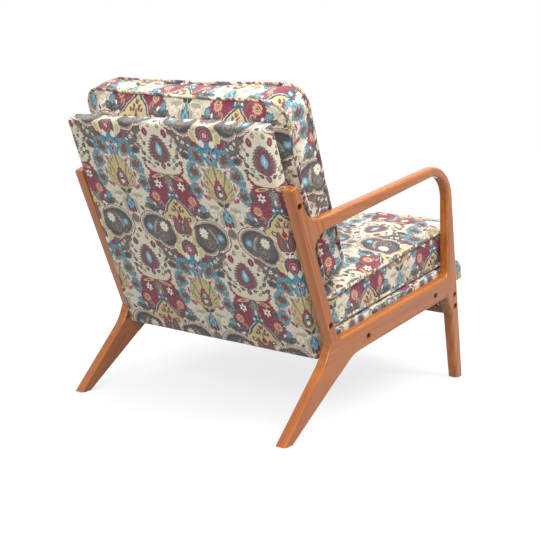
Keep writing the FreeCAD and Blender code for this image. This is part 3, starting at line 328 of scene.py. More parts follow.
    def field(self):
        """The burgundy field with its white flowers."""
        row = self.row
        shape = [(44, 20), (48, 46), (56, 56), (68, 64), (82, 80), (90, 78), (102, 73), (121, 63), (140, 58),
                 (152, 50), (160, 58), (172, 60), (180, 58)]
        _, mask = self.column(1, shape, [CRIMSON, (5.0, BURGUNDY)], frill=2.2)
        self.veins(mask, (0.44, 0.02, CRIMSON), (0.52, 0.01, CHARCOAL), (0.57, 0.01, PINK))
        clear = [(149, 0), (150, 10), (151, 26), (155, 42), (163, 52), (172, 56), (181, 57)]
        self.column(1, clear, [PINK, (1.6, IVORY)], frill=1.8)
        self.spot(row, (92, 121), (8, 13), [CHARCOAL, (0.6, BROWN)], 18)
        self.spot(row, (115, 123), (18, 18), [CHARCOAL, (0.6, CRIMSON), (0.9, CHARCOAL)])
        self.flower(row, (115, 123), 12.5, 6, 0.18, [CHARCOAL, (0.3, CREAM), (0.92, CHARCOAL)])
        self.spot(row, (122, 143), (20, 4), [BROWN, (0.5, OCHRE)], 12)
        leaf = [(104, 3), (112, 13), (122, 10), (130, 15), (140, 9), (152, 0)]
        _, mask = self.column(1, leaf, [CHARCOAL, (3.0, MOSS), (8.0, GREY)])
        self.specks(mask, 0.6, CREAM)
        self.spot(row, (150, 116), (3, 6), [CREAM])
        self.flower(row, (94, 90), 13, 9, 0.08, [CRIMSON, (0.2, OCHRE), (0.36, CRIMSON), (0.55, OCHRE),
                                                (0.8, PINK)])
        self.flower(row, (104, 72), 8, 7, 0.1, [CHARCOAL, (0.3, PINK), (0.6, BURGUNDY), (0.8, OCHRE)])
        self.petal(row, (84, 62), (10, 24), [GREY, (0.25, CHARCOAL), (0.7, MOSS)], -70, 0.4, 0.12)
        self.petal(row, (60, 62), (7, 16), [MOSS, (0.3, CHARCOAL)], 62, 0.4, 0.12)
        self.spot(row, (82, 70), (3, 5), [CREAM], 20)
        self.flower(row, (67, 76), 11, 8, 0.1, [OCHRE, (0.16, CHARCOAL), (0.34, LIGHT_TEAL), (0.5, TEAL),
                                               (0.9, DARK_TEAL)])

    def dome(self):
        """The ochre dome over crimson plumes."""
        row, low = self.row, self.low_row
        border = [(42, 58), (46, 60), (50, 54), (54, 45), (59, 40), (65, 37), (72, 32), (79, 24), (86, 16),
                  (92, 9), (97, 5), (102, 0)]
        self.column(1, border, [CREAM, (1.5, TEAL), (3.5, DARK_TEAL), (6.0, CHARCOAL),
                                 (7.5, DARK_TEAL), (9.0, OCHRE)])
        self.spot(row, (139, 98), (7.5, 8), [CREAM, (0.35, TEAL), (0.7, DARK_TEAL)])
        shape = [(20, 24), (30, 28), (36, 38), (41, 47), (46, 46), (51, 35), (58, 28), (66, 25), (74, 17),
                 (82, 7), (86, 0)]
        _, mask = self.column(1, shape, [OCHRE])
        self.veins(mask, (0.52, 0.012, STONE))
        self.petal(row, (127, 14), (7, 22), [OCHRE, (0.85, CREAM)], -6)
        for place, turn in (((147, 78), 40), ((141, 70), 40), ((134, 62), 40), ((143, 64), 0)):
            self.petal(row, place, (3.2, 6.5), [MAUVE], turn)
        self.spot(row, (150, 57), (3, 8), [GREY])
        self.spot(row, (123, 42), (9, 6), [CREAM, (0.3, GREY), (0.62, MAUVE)], -20)
        self.petal(row, (136, 24), (12, 26), [GREY, (0.2, MAUVE), (0.4, CRIMSON), (0.55, GREY),
                                             (0.68, BURGUNDY), (0.92, CHARCOAL)], 6)
        self.petal(row, (150, 18), (6, 20), [CREAM, (0.15, MOSS), (0.7, CHARCOAL)])
        self.petal(row, (150, 44), (7, 9), [CRIMSON])
        self.spot(low, (143, -2), (8, 4), [CRIMSON, (0.7, CREAM)])

    def heart(self):
        """The crimson palmette in its ivory ground."""
        row = self.row
        shape = [(176, 0), (180, 17), (188, 28), (198, 32), (210, 30), (220, 26), (229, 20), (237, 12),
                 (245, 0)]
        _, mask = self.column(1, shape, [CHARCOAL, (1.2, GREY), (6.0, MAUVE), (9.0, BURGUNDY),
                                          (14.0, CRIMSON), (18.0, MAUVE)], frill=2.8)
        self.veins(mask, (0.48, 0.022, BROWN), (0.57, 0.016, CHARCOAL), (0.4, 0.02, OLIVE))
        eye = [CREAM, (0.18, LIGHT_TEAL), (0.72, TEAL), (0.88, CHARCOAL)]
        self.petal(row, (150, 209), (11, 19), eye, 0, 0.3)
        self.petal(row, (121, 247), (8.5, 11), [TEAL, (0.2, CRIMSON), (0.85, CHARCOAL)], 0, 0.1)
        self.petal(row, (150, 170), (7, 9), [PINK, (0.3, MAUVE), (0.85, CHARCOAL)], 0, 0.1)
        dark = [OLIVE, (0.3, CHARCOAL)]
        light = [CREAM, (0.2, OLIVE)]
        for place, size, turn, stops in (((109, 220), (4, 6), 30, dark), ((103, 233), (4, 7), 20, light),
                                         ((89, 214), (4, 7), 60, dark), ((99, 196), (5, 8), 40, dark),
                                         ((94, 181), (5, 8), 70, dark), ((97, 208), (4, 6), -20, light),
                                         ((112, 186), (4, 8), 50, light), ((131, 174), (4, 8), 70, dark),
                                         ((136, 264), (5, 7), -20, light), ((107, 176), (4, 7), 60, dark),
                                         ((118, 168), (4, 7), 60, light)):
            self.petal(row, place, size, stops, turn)
        self.spot(row, (150, 280), (6, 6), [OLIVE, (0.5, CHARCOAL)])

    def crown(self):
        """The teal crown and petals round the yellow fan."""
        row = self.row
        petal = [CRIMSON, (0.13, BROWN), (0.24, CHARCOAL), (0.34, MOSS), (0.46, OCHRE),
                 (0.52, DARK_TEAL), (0.57, TEAL), (0.78, LIGHT_TEAL), (0.84, TEAL), (0.96, DARK_TEAL)]
        self.petal(row, (66, 120), (20, 19), petal, -96, -0.55, 0.11)
        self.petal(row, (60, 165), (23, 22), petal, -70, -0.55, 0.11)
        self.petal(row, (38, 201), (22, 26), petal, -38, -0.45, 0.1)
        shape = [(177, 0), (181, 12), (190, 15), (200, 20), (204, 10), (208, 8), (213, 20), (222, 28),
                 (229, 27), (235, 20), (238, 0)]
        stops = [DARK_TEAL, (1.2, TEAL), (8.0, LIGHT_TEAL), (10.0, TEAL)]
        self.column(0, shape, stops, frill=1.0)
        self.petal(row, (15, 233), (8, 10), [CREAM], 0, 0.2)
        self.petal(row, (17, 222), (3, 7), [DARK_TEAL], -30)
        self.petal(row, (0, 213), (4.5, 8), [CRIMSON, (0.8, CREAM)])
        self.petal(row, (0, 198), (5, 8), [CRIMSON, (0.8, CREAM)])
        ring = [CREAM, (0.4, PINK), (0.62, IVORY), (0.76, PINK)]
        for place, radius in (((59, 141), 6), ((45, 181), 8.5), ((80, 141), 5)):
            self.flower(row, place, radius, 6, 0.12, ring)
        for place, size, turn in (((47, 139), (4, 11), 0), ((46, 109), (5, 10), -60), ((31, 171), (4, 9), -50),
                                  ((37, 106), (4, 7), 20)):
            self.petal(row, place, size, [CRIMSON, (0.35, PINK)], turn)

    def fan(self):
        """The yellow palmette with its crimson drop."""
        graph, row = self.graph, self.row
        _, first, _, up = row
        shape = [(94, 0), (98, 14), (103, 26), (110, 34), (121, 41), (138, 41), (151, 38), (162, 32),
                 (173, 23), (181, 11), (186, 0)]
        inset, mask = self.column(0, shape, [CHARCOAL, (1.2, STONE), (2.4, OCHRE)], frill=1.6)
        spin = graph.maths("ARCTAN2", first, graph.maths("SUBTRACT", up, 100.0))
        wave = graph.maths("COSINE", graph.times(spin, 15.0))
        ribs = graph.times(graph.maths("GREATER_THAN", wave, 0.8), mask)
        self.lay(ribs, OLIVE)
        for inward, half_width, shade in ((10.0, 2.2, GREY), (20.0, 2.0, STONE)):
            band = graph.maths("COMPARE", inset, inward, half_width)
            cells = graph.times(graph.maths("LESS_THAN", wave, -0.3), band)
            self.lay(graph.times(cells, mask), shade)
        self.veins(mask, (0.56, 0.012, GREY))
        drop = [(103, 0), (106, 9), (112, 16), (122, 17), (132, 15), (140, 10), (148, 6), (156, 0)]
        self.column(0, drop, [CRIMSON, (5.0, MOSS), (8.0, GREY), (12.0, CHARCOAL)], frill=1.2)
        self.spot(row, (0, 132), (4, 5), [CHARCOAL, (0.4, CREAM)])
        self.flower(row, (0, 117), 6, 5, 0.12, [OCHRE, (0.2, CREAM)])
        self.petal(row, (10, 94), (4.5, 11), [CHARCOAL], -62)

    def tulip(self):
        """The blue tulip between scrolls, and the leaves under it."""
        graph, row = self.graph, self.row
        self.spot(row, (30, 84), (19, 6), [STONE, (0.85, CREAM)], -6)
        self.spot(row, (18, 56), (6, 24), [STONE, (0.85, CREAM)])
        self.spot(row, (38, 70), (13, 12), [OCHRE, (0.22, CREAM), (0.9, STONE)])
        self.petal(row, (35, 54), (5, 9), [CHARCOAL, (0.7, CREAM)], 50)
        self.petal(row, (50, 60), (4, 7), [OLIVE], -40)
        around = graph.inside(row[0], (30, 66), (34, 28))
        self.veins(around, (0.47, 0.014, OLIVE))
        self.spot(row, (0, 24), (13, 13), [GREY, (0.8, STONE)])
        self.spot(row, (9, 60), (5, 22), [BROWN, (0.7, STONE)])
        shape = [(47, 0), (50, 8), (55, 10), (62, 13), (66, 9), (74, 6), (82, 4), (90, 0)]
        stops = [DARK_TEAL, (1.2, TEAL), (4.0, LIGHT_TEAL), (8.0, TEAL)]
        self.column(0, shape, stops, frill=0.8)
        self.spot(row, (10, 47), (3.5, 8), [CHARCOAL])
        self.spot(row, (0, 44), (6, 7), [CRIMSON])
        self.specks(graph.inside(row[0], (0, 22), (14, 14)), 0.55, CHARCOAL)


def new_material(name):
    material = bpy.data.materials.new(name)
    material.use_nodes = True
    graph = Graph(material.node_tree)
    shader = material.node_tree.nodes["Principled BSDF"]
    return material, graph, shader


def print_group():
    """The print as a node group: cloth coordinates in mm in, the colour and the thread's height out."""
    tree = bpy.data.node_groups.new("FlowerPrint", "ShaderNodeTree")
    tree.interface.new_socket("Cloth", in_out="INPUT", socket_type="NodeSocketVector")
    tree.interface.new_socket("Color", in_out="OUTPUT", socket_type="NodeSocketColor")
    tree.interface.new_socket("Thread", in_out="OUTPUT", socket_type="NodeSocketFloat")
    graph = Graph(tree)
    cloth = tree.nodes.new("NodeGroupInput").outputs[0]
    paint = Print(graph, cloth).whole()
    along, up, _ = graph.split(cloth)
    pitch = 2 * math.pi / 1.3
    weft = graph.maths("SINE", graph.times(along, pitch))
    warp = graph.maths("SINE", graph.times(up, pitch))
    thread = graph.times_plus(graph.times(weft, warp), 0.5, 0.5)
    slub = graph.noise(graph.vector("MULTIPLY", cloth, (0.25, 1.4, 1.0)), 1.0, 2.0, 0.6)
    shade = graph.times_plus(slub, 0.5, graph.times_plus(thread, 0.16, 0.66))
    grey = graph.join(shade, shade, shade)
    paint = graph.mix(1.0, paint, grey, "MULTIPLY")
    output = tree.nodes.new("NodeGroupOutput")
    tree.links.new(paint, output.inputs[0])
    tree.links.new(thread, output.inputs[1])
    return tree


def cloth_material(name, group):
    """Printed woven cotton, placed by the piece's UV map, whose unit is a millimetre of cloth."""
    material, graph, shader = new_material(name)
    places = graph.add("ShaderNodeUVMap", uv_map="Cloth").outputs[0]
    item = graph.add("ShaderNodeGroup", node_tree=group)
    material.node_tree.links.new(places, item.inputs[0])
    crease = graph.noise(places, 0.03, 3.0, 0.5)
    height = graph.times_plus(crease, 6.0, graph.times(item.outputs[1], 0.35))
    bump = graph.add("ShaderNodeBump", {"Strength": 0.35, "Distance": 0.001, "Height": height})
    links = material.node_tree.links
    links.new(item.outputs[0], shader.inputs["Base Color"])
    links.new(bump.outputs[0], shader.inputs["Normal"])
    rough = graph.times_plus(item.outputs[1], 0.1, 0.82)
    links.new(rough, shader.inputs["Roughness"])
    shader.inputs["Sheen Weight"].default_value = 0.22
    shader.inputs["Sheen Roughness"].default_value = 0.5
    return material


WOOD_LIGHT = colour(196, 118, 46)
WOOD_MIDDLE = colour(176, 98, 32)
WOOD_DARK = colour(144, 72, 20)
WOOD_STREAK = colour(124, 56, 20)


def wood_material(name, angle=None, bend=None, seed=0.0):
    """Stained, lacquered hardwood. Its grain runs at an angle up from +Y, seen from the side, or round a bend.
    """
    material, graph, shader = new_material(name)
    x, y, z = graph.split(graph.add("ShaderNodeTexCoord").outputs["Object"])
    if bend:
        centre_y, centre_z, radius = bend
        back = graph.maths("SUBTRACT", y, centre_y)
        up = graph.maths("SUBTRACT", z, centre_z)
        fore = graph.maths("MINIMUM", back, 0.0)
        high = graph.maths("MAXIMUM", up, 0.0)
        across = graph.vector("LENGTH", graph.join(fore, high, 0.0))
        turn = graph.maths("ARCTAN2", graph.times(fore, -1.0), high)
        turned = graph.times(turn, radius)
        along = graph.maths("SUBTRACT", graph.maths("SUBTRACT", turned, graph.maths("MAXIMUM", back, 0.0)),
                            graph.maths("MINIMUM", up, 0.0))
    else:
        c, s = math.cos(math.radians(angle)), math.sin(math.radians(angle))
        along = graph.times_plus(y, c, graph.times(z, s))
        across = graph.times_plus(z, c, graph.times(y, -s))
    place = graph.join(along, graph.maths("ADD", across, seed), graph.maths("ADD", x, seed))
    drift = graph.noise(graph.vector("MULTIPLY", place, (3.0, 9.0, 9.0)), 1.0, 2.0)
    figure = graph.times_plus(drift, 0.016, across)
    rings = graph.noise(graph.join(graph.times(along, 1.3), graph.times(figure, 90.0),
                                   graph.times(x, 60.0)), 1.0, 4.0, 0.6, 0.3)
    pores = graph.noise(graph.vector("MULTIPLY", place, (22.0, 900.0, 700.0)), 1.0, 3.0, 0.7)
    cloud = graph.noise(graph.vector("MULTIPLY", place, (4.0, 14.0, 14.0)), 1.0, 2.0)
    stops = [(0.26, WOOD_STREAK), (0.4, WOOD_DARK), (0.5, WOOD_MIDDLE), (0.66, WOOD_LIGHT)]
    tone = graph.bands(rings, stops, "LINEAR")
    tone = graph.mix(graph.times(cloud, 1.1), tone, WOOD_MIDDLE)
    dark = graph.bands(pores, [(0.3, WOOD_DARK), (0.5, colour(255, 255, 255))], "LINEAR")
    tone = graph.mix(0.35, tone, dark, "MULTIPLY")
    links = material.node_tree.links
    links.new(tone, shader.inputs["Base Color"])
    links.new(graph.times_plus(pores, 0.12, 0.3), shader.inputs["Roughness"])
    bump = graph.add("ShaderNodeBump", {"Strength": 0.12, "Distance": 0.0004, "Height": pores})
    links.new(bump.outputs[0], shader.inputs["Normal"])
    shader.inputs["Specular IOR Level"].default_value = 0.2
    shader.inputs["Coat Weight"].default_value = 0.8
    shader.inputs["Coat Roughness"].default_value = 0.06
    return material


def plain_material(name, light, dark, rough, scale, metal=0.0, bump=0.2, stretch=(1, 1, 1)):
    """A small-part material: two tones of noise, with the same noise in its roughness and bump."""
    material, graph, shader = new_material(name)
    place = graph.vector("MULTIPLY", graph.add("ShaderNodeTexCoord").outputs["Object"], stretch)
    grain = graph.noise(place, scale, 3.0, 0.6)
    links = material.node_tree.links
    links.new(graph.bands(grain, [(0.35, dark), (0.65, light)], "LINEAR"), shader.inputs["Base Color"])
    links.new(graph.times_plus(grain, 0.2, rough - 0.1), shader.inputs["Roughness"])
    item = graph.add("ShaderNodeBump", {"Strength": bump, "Distance": 0.0003, "Height": grain})
    links.new(item.outputs[0], shader.inputs["Normal"])
    shader.inputs["Metallic"].default_value = metal
    return material


def dress(material, *names):
    for name in names:
        item = nodes[name]
        item.data.materials.clear()
        item.data.materials.append(material)


def both(*names):
    return [f"{side}_{name}" for side in ("right", "left") for name in names]


# Meshes


def make_piece(name, places, faces, cloth, material, body, replaced, held=None):
    """A smooth mesh that rides on a body. Cloth gives, for each face, the UV of each of its corners in mm.

    Held, where given, is how firmly each vertex stays while the piece's cloth swells.
    """
    mesh = bpy.data.meshes.new(name)
    mesh.from_pydata([tuple(place) for place in places], [], faces)
    layer = mesh.uv_layers.new(name="Cloth")
    for loop, spot in zip(layer.data, (spot for corners in cloth for spot in corners)):
        loop.uv = spot
    mesh.polygons.foreach_set("use_smooth", [True] * len(mesh.polygons))
    mesh.materials.append(material)
    mesh.update()
    item = bpy.data.objects.new(name, mesh)
    bpy.context.scene.collection.objects.link(item)
    if held:
        swell_cloth(item, held)
    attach(item, body)
    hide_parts(*replaced)
    return item


FRAMES = 16
FARTHEST_MOVE = 4.5 * MM


def swell_cloth(item, held):
    """Swells a cushion's cloth between its seams by a short simulation of pressure.

    Most of the free cloth would go past FARTHEST_MOVE and is stopped there, so the simulation sets which
    way it swells and the limit sets how far. It isn't cloth at rest.
    """
    group = item.vertex_groups.new(name="held")
    for vertex, weight in enumerate(held):
        if weight:
            group.add([vertex], weight, "REPLACE")
    start = [vertex.co.copy() for vertex in item.data.vertices]
    modifier = item.modifiers.new("cloth", "CLOTH")
    settings = modifier.settings
    settings.quality = 5
    settings.mass = 0.25
    settings.tension_stiffness = settings.compression_stiffness = settings.shear_stiffness = 25.0
    settings.bending_stiffness = 0.6
    settings.air_damping = 2.0
    settings.use_pressure = True
    settings.uniform_pressure_force = 2.0
    settings.shrink_min = settings.shrink_max = -0.035
    settings.vertex_group_mass = group.name
    settings.effector_weights.gravity = 0.0
    modifier.point_cache.frame_start, modifier.point_cache.frame_end = 1, FRAMES
    for number in range(1, FRAMES + 1):
        bpy.context.scene.frame_set(number)
    swollen = item.evaluated_get(bpy.context.evaluated_depsgraph_get()).to_mesh()
    moves = [vertex.co - place for vertex, place in zip(swollen.vertices, start)]
    item.modifiers.remove(modifier)
    item.vertex_groups.remove(group)
    bpy.context.scene.frame_set(1)
    for vertex, place, move in zip(item.data.vertices, start, moves):
        vertex.co = place + move * min(1.0, FARTHEST_MOVE / max(move.length, 1e-9))
    item.data.update()


def ripple(place, scale, size):
    """A signed wander of up to a size, smooth over 1 / scale."""
    return noise.noise(Vector(place) * scale) * size


def ticks(length, edge, step):
    """Places from one end of a length to the other: close together near the ends, a step apart between."""
    inner = length - 2 * edge[-1]
    count = max(2, round(inner / step))
    middle = [edge[-1] + inner * n / count for n in range(1, count)]
    return list(edge) + middle + [length - e for e in reversed(edge)]


def block(columns, rows, layers):
    """The outer faces of a lattice block, as corner index triples, each with the axis and side it faces."""
    sizes = (len(columns), len(rows), len(layers))
    faces = []
    for axis in range(3):
        one, two = [a for a in range(3) if a != axis]
        for side in (0, sizes[axis] - 1):
            for i in range(sizes[one] - 1):
                for j in range(sizes[two] - 1):
                    corners = []
                    for di, dj in ((0, 0), (1, 0), (1, 1), (0, 1)):
                        index = [0, 0, 0]
                        index[axis], index[one], index[two] = side, i + di, j + dj
                        corners.append(tuple(index))
                    flip = (side > 0) == (axis == 1)
                    faces.append((axis, side > 0, corners[::-1] if flip else corners))
    return faces


def block_piece(name, lattice, shape, at, cloth_at, material, body, replaced):
    """A piece from a lattice block. Shape moves a place, at puts it in the chair, cloth_at gives its UV."""
    faces = block(*lattice)
    numbers = {}
    places = []
    polygons = []
    cloth = []
    for axis, far, corners in faces:
        polygon = []
        for corner in corners:
            if corner not in numbers:
                numbers[corner] = len(places)
                spot = [lattice[k][corner[k]] for k in range(3)]
                places.append(at(*shape(*spot)))
            polygon.append(numbers[corner])
        polygons.append(polygon)
        cloth.append([cloth_at(axis, far, *[lattice[k][corner[k]] for k in range(3)]) for corner in corners])
    return make_piece(name, places, polygons, cloth, material, body, replaced)


def rounded(place, low, high, radius):
    """A place on a box's surface, moved onto the box with rounded edges."""
    inner = [min(max(p, a + radius), b - radius) for p, a, b in zip(place, low, high)]
    out = Vector([p - q for p, q in zip(place, inner)])
    return Vector(inner) + out.normalized() * radius if out.length > 1e-9 else Vector(place)


# Back panel

PANEL_HALF, PANEL_HEIGHT, PANEL_DEPTH = 300.0, 558.0, 38.0
PANEL_EDGE_RADIUS = 8.5
PANEL_PUFF = 2.2
FINE_EDGE = (0.0, 1.5, 4.0, 7.0, 11.0, 17.0)
NOSE_EDGE = (0.0, 1.5, 4.0, 7.0, 12.0, 18.0, 24.0, 30.0)


def panel_shape(x, along, across):
    low, high = (-PANEL_HALF, 0, 0), (PANEL_HALF, PANEL_HEIGHT, PANEL_DEPTH)
    x, along, across = rounded((x, along, across), low, high, PANEL_EDGE_RADIUS)
    side = abs(x) / PANEL_HALF
    height = abs(along / PANEL_HEIGHT * 2 - 1)
    puff = (1 - side ** 6) * (1 - height ** 6)
    sway = ripple((x, along, 0), 0.006, 1.6) + ripple((x, along, 40), 0.022, 0.7)
    if across < PANEL_DEPTH / 2:
        across -= PANEL_PUFF * puff + sway * puff
    edge_sway = ripple((along, across, 3), 0.012, 0.7)
    x += math.copysign(1, x) * (side ** 8) * (edge_sway - 0.6)
    along += (height ** 8) * ripple((x, 9, 1), 0.008, 0.5) * (1 if along > PANEL_HEIGHT / 2 else -1)
    return x, along, across


def panel_cloth(axis, far, x, along, across):
    if axis == 0:
        shift = PANEL_HALF + across
        x = shift if far else -shift
    elif axis == 1:
        along = PANEL_HEIGHT + across if far else -across
    elif far:
        x = -x
    return skewed(x, along)


def skewed(x, up):
    """Cloth places for the panel, where the print runs a little off square."""
    return x - 0.038 * up + 4, 0.978 * (up - 0.037 * x) + 10.6


# Seat deck

DECK_HALF, DECK_REAR, DECK_NOSE, DECK_LOW, DECK_TOP = 307.5, 10.0, 592.0, 8.3, 65.5
DECK_EDGE_RADIUS = 7.0
DECK_FALL_START = 562.0
DECK_TUCK_START = 574.0


def deck_shape(x, along, across):
    low, high = (-DECK_HALF, DECK_REAR, DECK_LOW), (DECK_HALF, DECK_NOSE, DECK_TOP)
    x, along, across = rounded((x, along, across), low, high, DECK_EDGE_RADIUS)
    fall = max(0.0, (along - DECK_FALL_START) / (DECK_NOSE - DECK_FALL_START))
    across = DECK_LOW + (across - DECK_LOW) * (1 - 0.62 * fall ** 1.5)
    front = max(0.0, along - DECK_TUCK_START) / (DECK_NOSE - DECK_TUCK_START)
    x *= 1 - 0.03 * front ** 2 * (abs(x) / DECK_HALF) ** 20
    across += ripple((x, along, 0), 0.02, 0.4) if across > 30 else 0
    return x, along, across


def deck_cloth(axis, far, x, along, across):
    if axis == 0:
        return 40 + along, across + 150
    if axis == 1:
        return x, across - 120
    return x + 30, along + 60


# Cushions


class Cushion:
    """A boxed cushion: faces crowned from square grids, boxing between them, piping along both seams.

    A place on a face is (a, b), each from -1 to 1, and its distance from the middle is the larger of the two.
    """

    GUTTER = 3.0
    PIPING = 3.9
    PIPING_OUT = 0.6
    PIPING_SIDES = 10
    BOXING_SWELL = 4.6
    BOXING_ROWS = 12
    SIDE_BOW = 4.0
    FLATTEST_CROWN = 5.0

    def __init__(self, name, at, along, half, corner, level, boxing, crowns, cells):
        self.name = name
        self.at = at
        self.low, self.high = along
        self.half = half
        self.corner = corner
        self.level = level
        self.near_boxing, self.far_boxing = boxing
        self.crowns = crowns
        self.held_below = 1.0 if crowns[0] < self.FLATTEST_CROWN else 0.0
        edge = (0.0, 0.012, 0.03, 0.055, 0.09)
        self.lines = [line - 1 for line in ticks(2.0, edge, 2.0 / cells)]

    def seam_height(self, along, upper):
        if not upper:
            return self.level
        share = (along - self.low) / (self.high - self.low)
        return self.level + self.near_boxing + (self.far_boxing - self.near_boxing) * share

    def edge_place(self, a, b, outward):
        """A place on the seam's outline, moved outward by a distance. (a, b) is on the square's edge."""
        reach = (self.high - self.low) / 2
        limits = (self.half - self.corner, reach - self.corner)
        place = Vector((a * self.half, b * reach))
        inner = Vector([min(max(p, -q), q) for p, q in zip(place, limits)])
        out = (place - inner).normalized()
        bow = sum((1 - (i / q) ** 2) * self.SIDE_BOW * q / 262 * abs(o) for i, q, o in
                  zip((inner.y, inner.x), (limits[1], limits[0]), (out.x, out.y)))
        spot = inner + out * (self.corner + outward - bow)
        return spot.x, spot.y + (self.low + self.high) / 2, out

    def face_place(self, a, b, upper):
        reach = max(abs(a), abs(b))
        if reach < 1e-6:
            x, along = 0.0, (self.low + self.high) / 2
        else:
            x, along, _ = self.edge_place(a / reach, b / reach, -self.GUTTER)
            middle = (self.low + self.high) / 2
            x *= reach
            along = middle + (along - middle) * reach
        t = 1 - reach
        depth = self.crowns[1 if upper else 0]
        rise = min(1.0, t / 0.012) * min(self.PIPING, depth + self.PIPING)
        rise += depth * (1 - (1 - min(1.0, t / 0.5)) ** 2.9)
        pucker = math.exp(-t * 14) * (1 - math.exp(-t * 90))
        rise += ripple((x, along, 7 + upper * 5), 0.045, 2.2) * pucker
        rise += ripple((x, along, 2 + upper * 3), 0.009, 3.0) * min(1.0, t * 5)
        height = self.seam_height(along, upper)
        return x, along, height + (rise if upper else -rise)

    def boxing_place(self, a, b, share):
        swell = self.BOXING_SWELL * math.sin(math.pi * share)
        gutter = self.GUTTER * (math.exp(-share * 28) + math.exp(-(1 - share) * 28))
        x, along, out = self.edge_place(a, b, swell - gutter)
        low, high = self.seam_height(along, False), self.seam_height(along, True)
        sway = ripple((x, along, share * 60), 0.03, 1.6) * math.sin(math.pi * share)
        return x + out.x * sway, along + out.y * sway, low + (high - low) * share

    def ring(self):
        """The square's edge, all the way round, as grid index pairs."""
        last = len(self.lines) - 1
        return ([(i, 0) for i in range(last)] + [(last, j) for j in range(last)]
                + [(i, last) for i in range(last, 0, -1)] + [(0, j) for j in range(last, 0, -1)])

    def build(self, material, body, replaced, face_cloth, side_cloth):
        count = len(self.lines)
        rows = self.BOXING_ROWS
        places = []
        held = []
        for upper in (False, True):
            for i in range(count):
                for j in range(count):
                    places.append(self.face_place(self.lines[i], self.lines[j], upper))
                    is_seam = i in (0, count - 1) or j in (0, count - 1)
                    held.append(1.0 if is_seam else (0.0 if upper else self.held_below))
        ring = self.ring()
        size = count * count
        for row in range(1, rows):
            share = row / rows
            share = share - 0.06 * math.sin(2 * math.pi * share)
            for i, j in ring:
                places.append(self.boxing_place(self.lines[i], self.lines[j], share))
                held.append(0.0)
        faces, cloth = [], []
        for upper in (False, True):
            base = size if upper else 0
            for i in range(count - 1):
                for j in range(count - 1):
                    corners = [(i, j), (i + 1, j), (i + 1, j + 1), (i, j + 1)]
                    face = [base + p * count + q for p, q in (corners if upper else corners[::-1])]
                    faces.append(face)
                    cloth.append([face_cloth(*places[v][:2]) for v in face])

        def at_row(row, k):
            k %= len(ring)
            if row in (0, rows):
                i, j = ring[k]
                return (size if row else 0) + i * count + j
            return 2 * size + (row - 1) * len(ring) + k

        for row in range(rows):
            for k in range(len(ring)):
                i, next_i = ring[k][0], ring[(k + 1) % len(ring)][0]
                on_side = i == next_i and i in (0, count - 1)
                spots = ((row, k), (row, k + 1), (row + 1, k + 1), (row + 1, k))
                face = [at_row(r, n) for r, n in spots]
                faces.append(face)
                cloth.append([side_cloth(on_side, *places[v]) for v in face])
        places = [self.at(*place) for place in places]
        return make_piece(self.name, places, faces, cloth, material, body, replaced, held)

    def piping(self, name, upper, material, body, replaced, slot):
        """The round piping along one seam, in the same cloth cut small."""
        ring = self.ring()
        sides = self.PIPING_SIDES
        centres = []
        for i, j in ring:
            x, along, out = self.edge_place(self.lines[i], self.lines[j], self.PIPING_OUT)
            sway = ripple((x, along, 20 + upper * 9), 0.03, 1.0)
            height = self.seam_height(along, upper) + ripple((x, along, 50 + upper * 9), 0.02, 0.9)
            centres.append((x + out.x * sway, along + out.y * sway, height, out))
        places, faces, cloth = [], [], []
        length = 0.0
        lengths = []
        for k, (x, along, height, out) in enumerate(centres):
            radius = self.PIPING + ripple((x, along, 80), 0.06, 0.35)
            for side in range(sides):
                turn = 2 * math.pi * side / sides
                outward = radius * math.cos(turn)
                places.append(self.at(x + out.x * outward, along + out.y * outward,
                                      height + radius * math.sin(turn)))
            lengths.append(length)
            after = centres[(k + 1) % len(centres)]
            length += math.dist((x, along), after[:2])
        lengths.append(length)
        for k in range(len(centres)):
            for side in range(sides):
                k2, side2 = (k + 1) % len(centres), (side + 1) % sides
                faces.append([k * sides + side, k * sides + side2, k2 * sides + side2, k2 * sides + side])
                spots = ((k, side), (k, side + 1), (k + 1, side + 1), (k + 1, side))
                cloth.append([(lengths[n] + m * 1.54, m * 2.2 + lengths[n] * 0.6) for n, m in spots])
        return make_piece(name, places, faces, cloth, material, body, replaced)


group = print_group()
cloth = cloth_material("PrintedCloth", group)
piping_cloth = cloth_material("PipingCloth", group)

panel_lattice = ([-PANEL_HALF + t for t in ticks(2 * PANEL_HALF, FINE_EDGE, 13)],
                 ticks(PANEL_HEIGHT, FINE_EDGE, 13), ticks(PANEL_DEPTH, FINE_EDGE[:5], 8))
panel_layers = ("back_panel_cover", "back_panel_rear_wadding", "back_panel_front_wadding")
panel = block_piece("back_panel_cloth", panel_lattice, panel_shape, panel_at, panel_cloth, cloth, "chair",
                    panel_layers)

deck_lattice = ([-DECK_HALF + t for t in ticks(2 * DECK_HALF, FINE_EDGE[:5], 20)],
                [DECK_REAR + t for t in ticks(DECK_NOSE - DECK_REAR, NOSE_EDGE, 20)],
                [DECK_LOW + t for t in ticks(DECK_TOP - DECK_LOW, FINE_EDGE[:4], 8)])
deck = block_piece("seat_deck_cloth", deck_lattice, deck_shape, seat_at, deck_cloth, cloth, "chair",
                   ("deck_cover", "deck_foam", "deck_edge_roll"))

seat = Cushion("seat_cushion_cloth", seat_at, (4.0, 583.0), 300.0, 38.0, 73.4, (64.8, 84.8), (3.8, 24.5), 56)


def seat_face(x, along):
    return x + 165, 906 - along


def seat_side(on_side, x, along, across):
    if on_side:
        return (along - 175) * 1.06, across + 262
    return x + 20, across + 262


seat_piece = seat.build(cloth, "seat_cushion", ("seat_cushion_cover", "seat_cushion_fill"),
                        seat_face, seat_side)

BACK_HALF, BACK_LIFT, BACK_HEIGHT = 300.0, 134.0, 468.0
BACK_LEVEL, BACK_BOXING = 82.1, 75.0


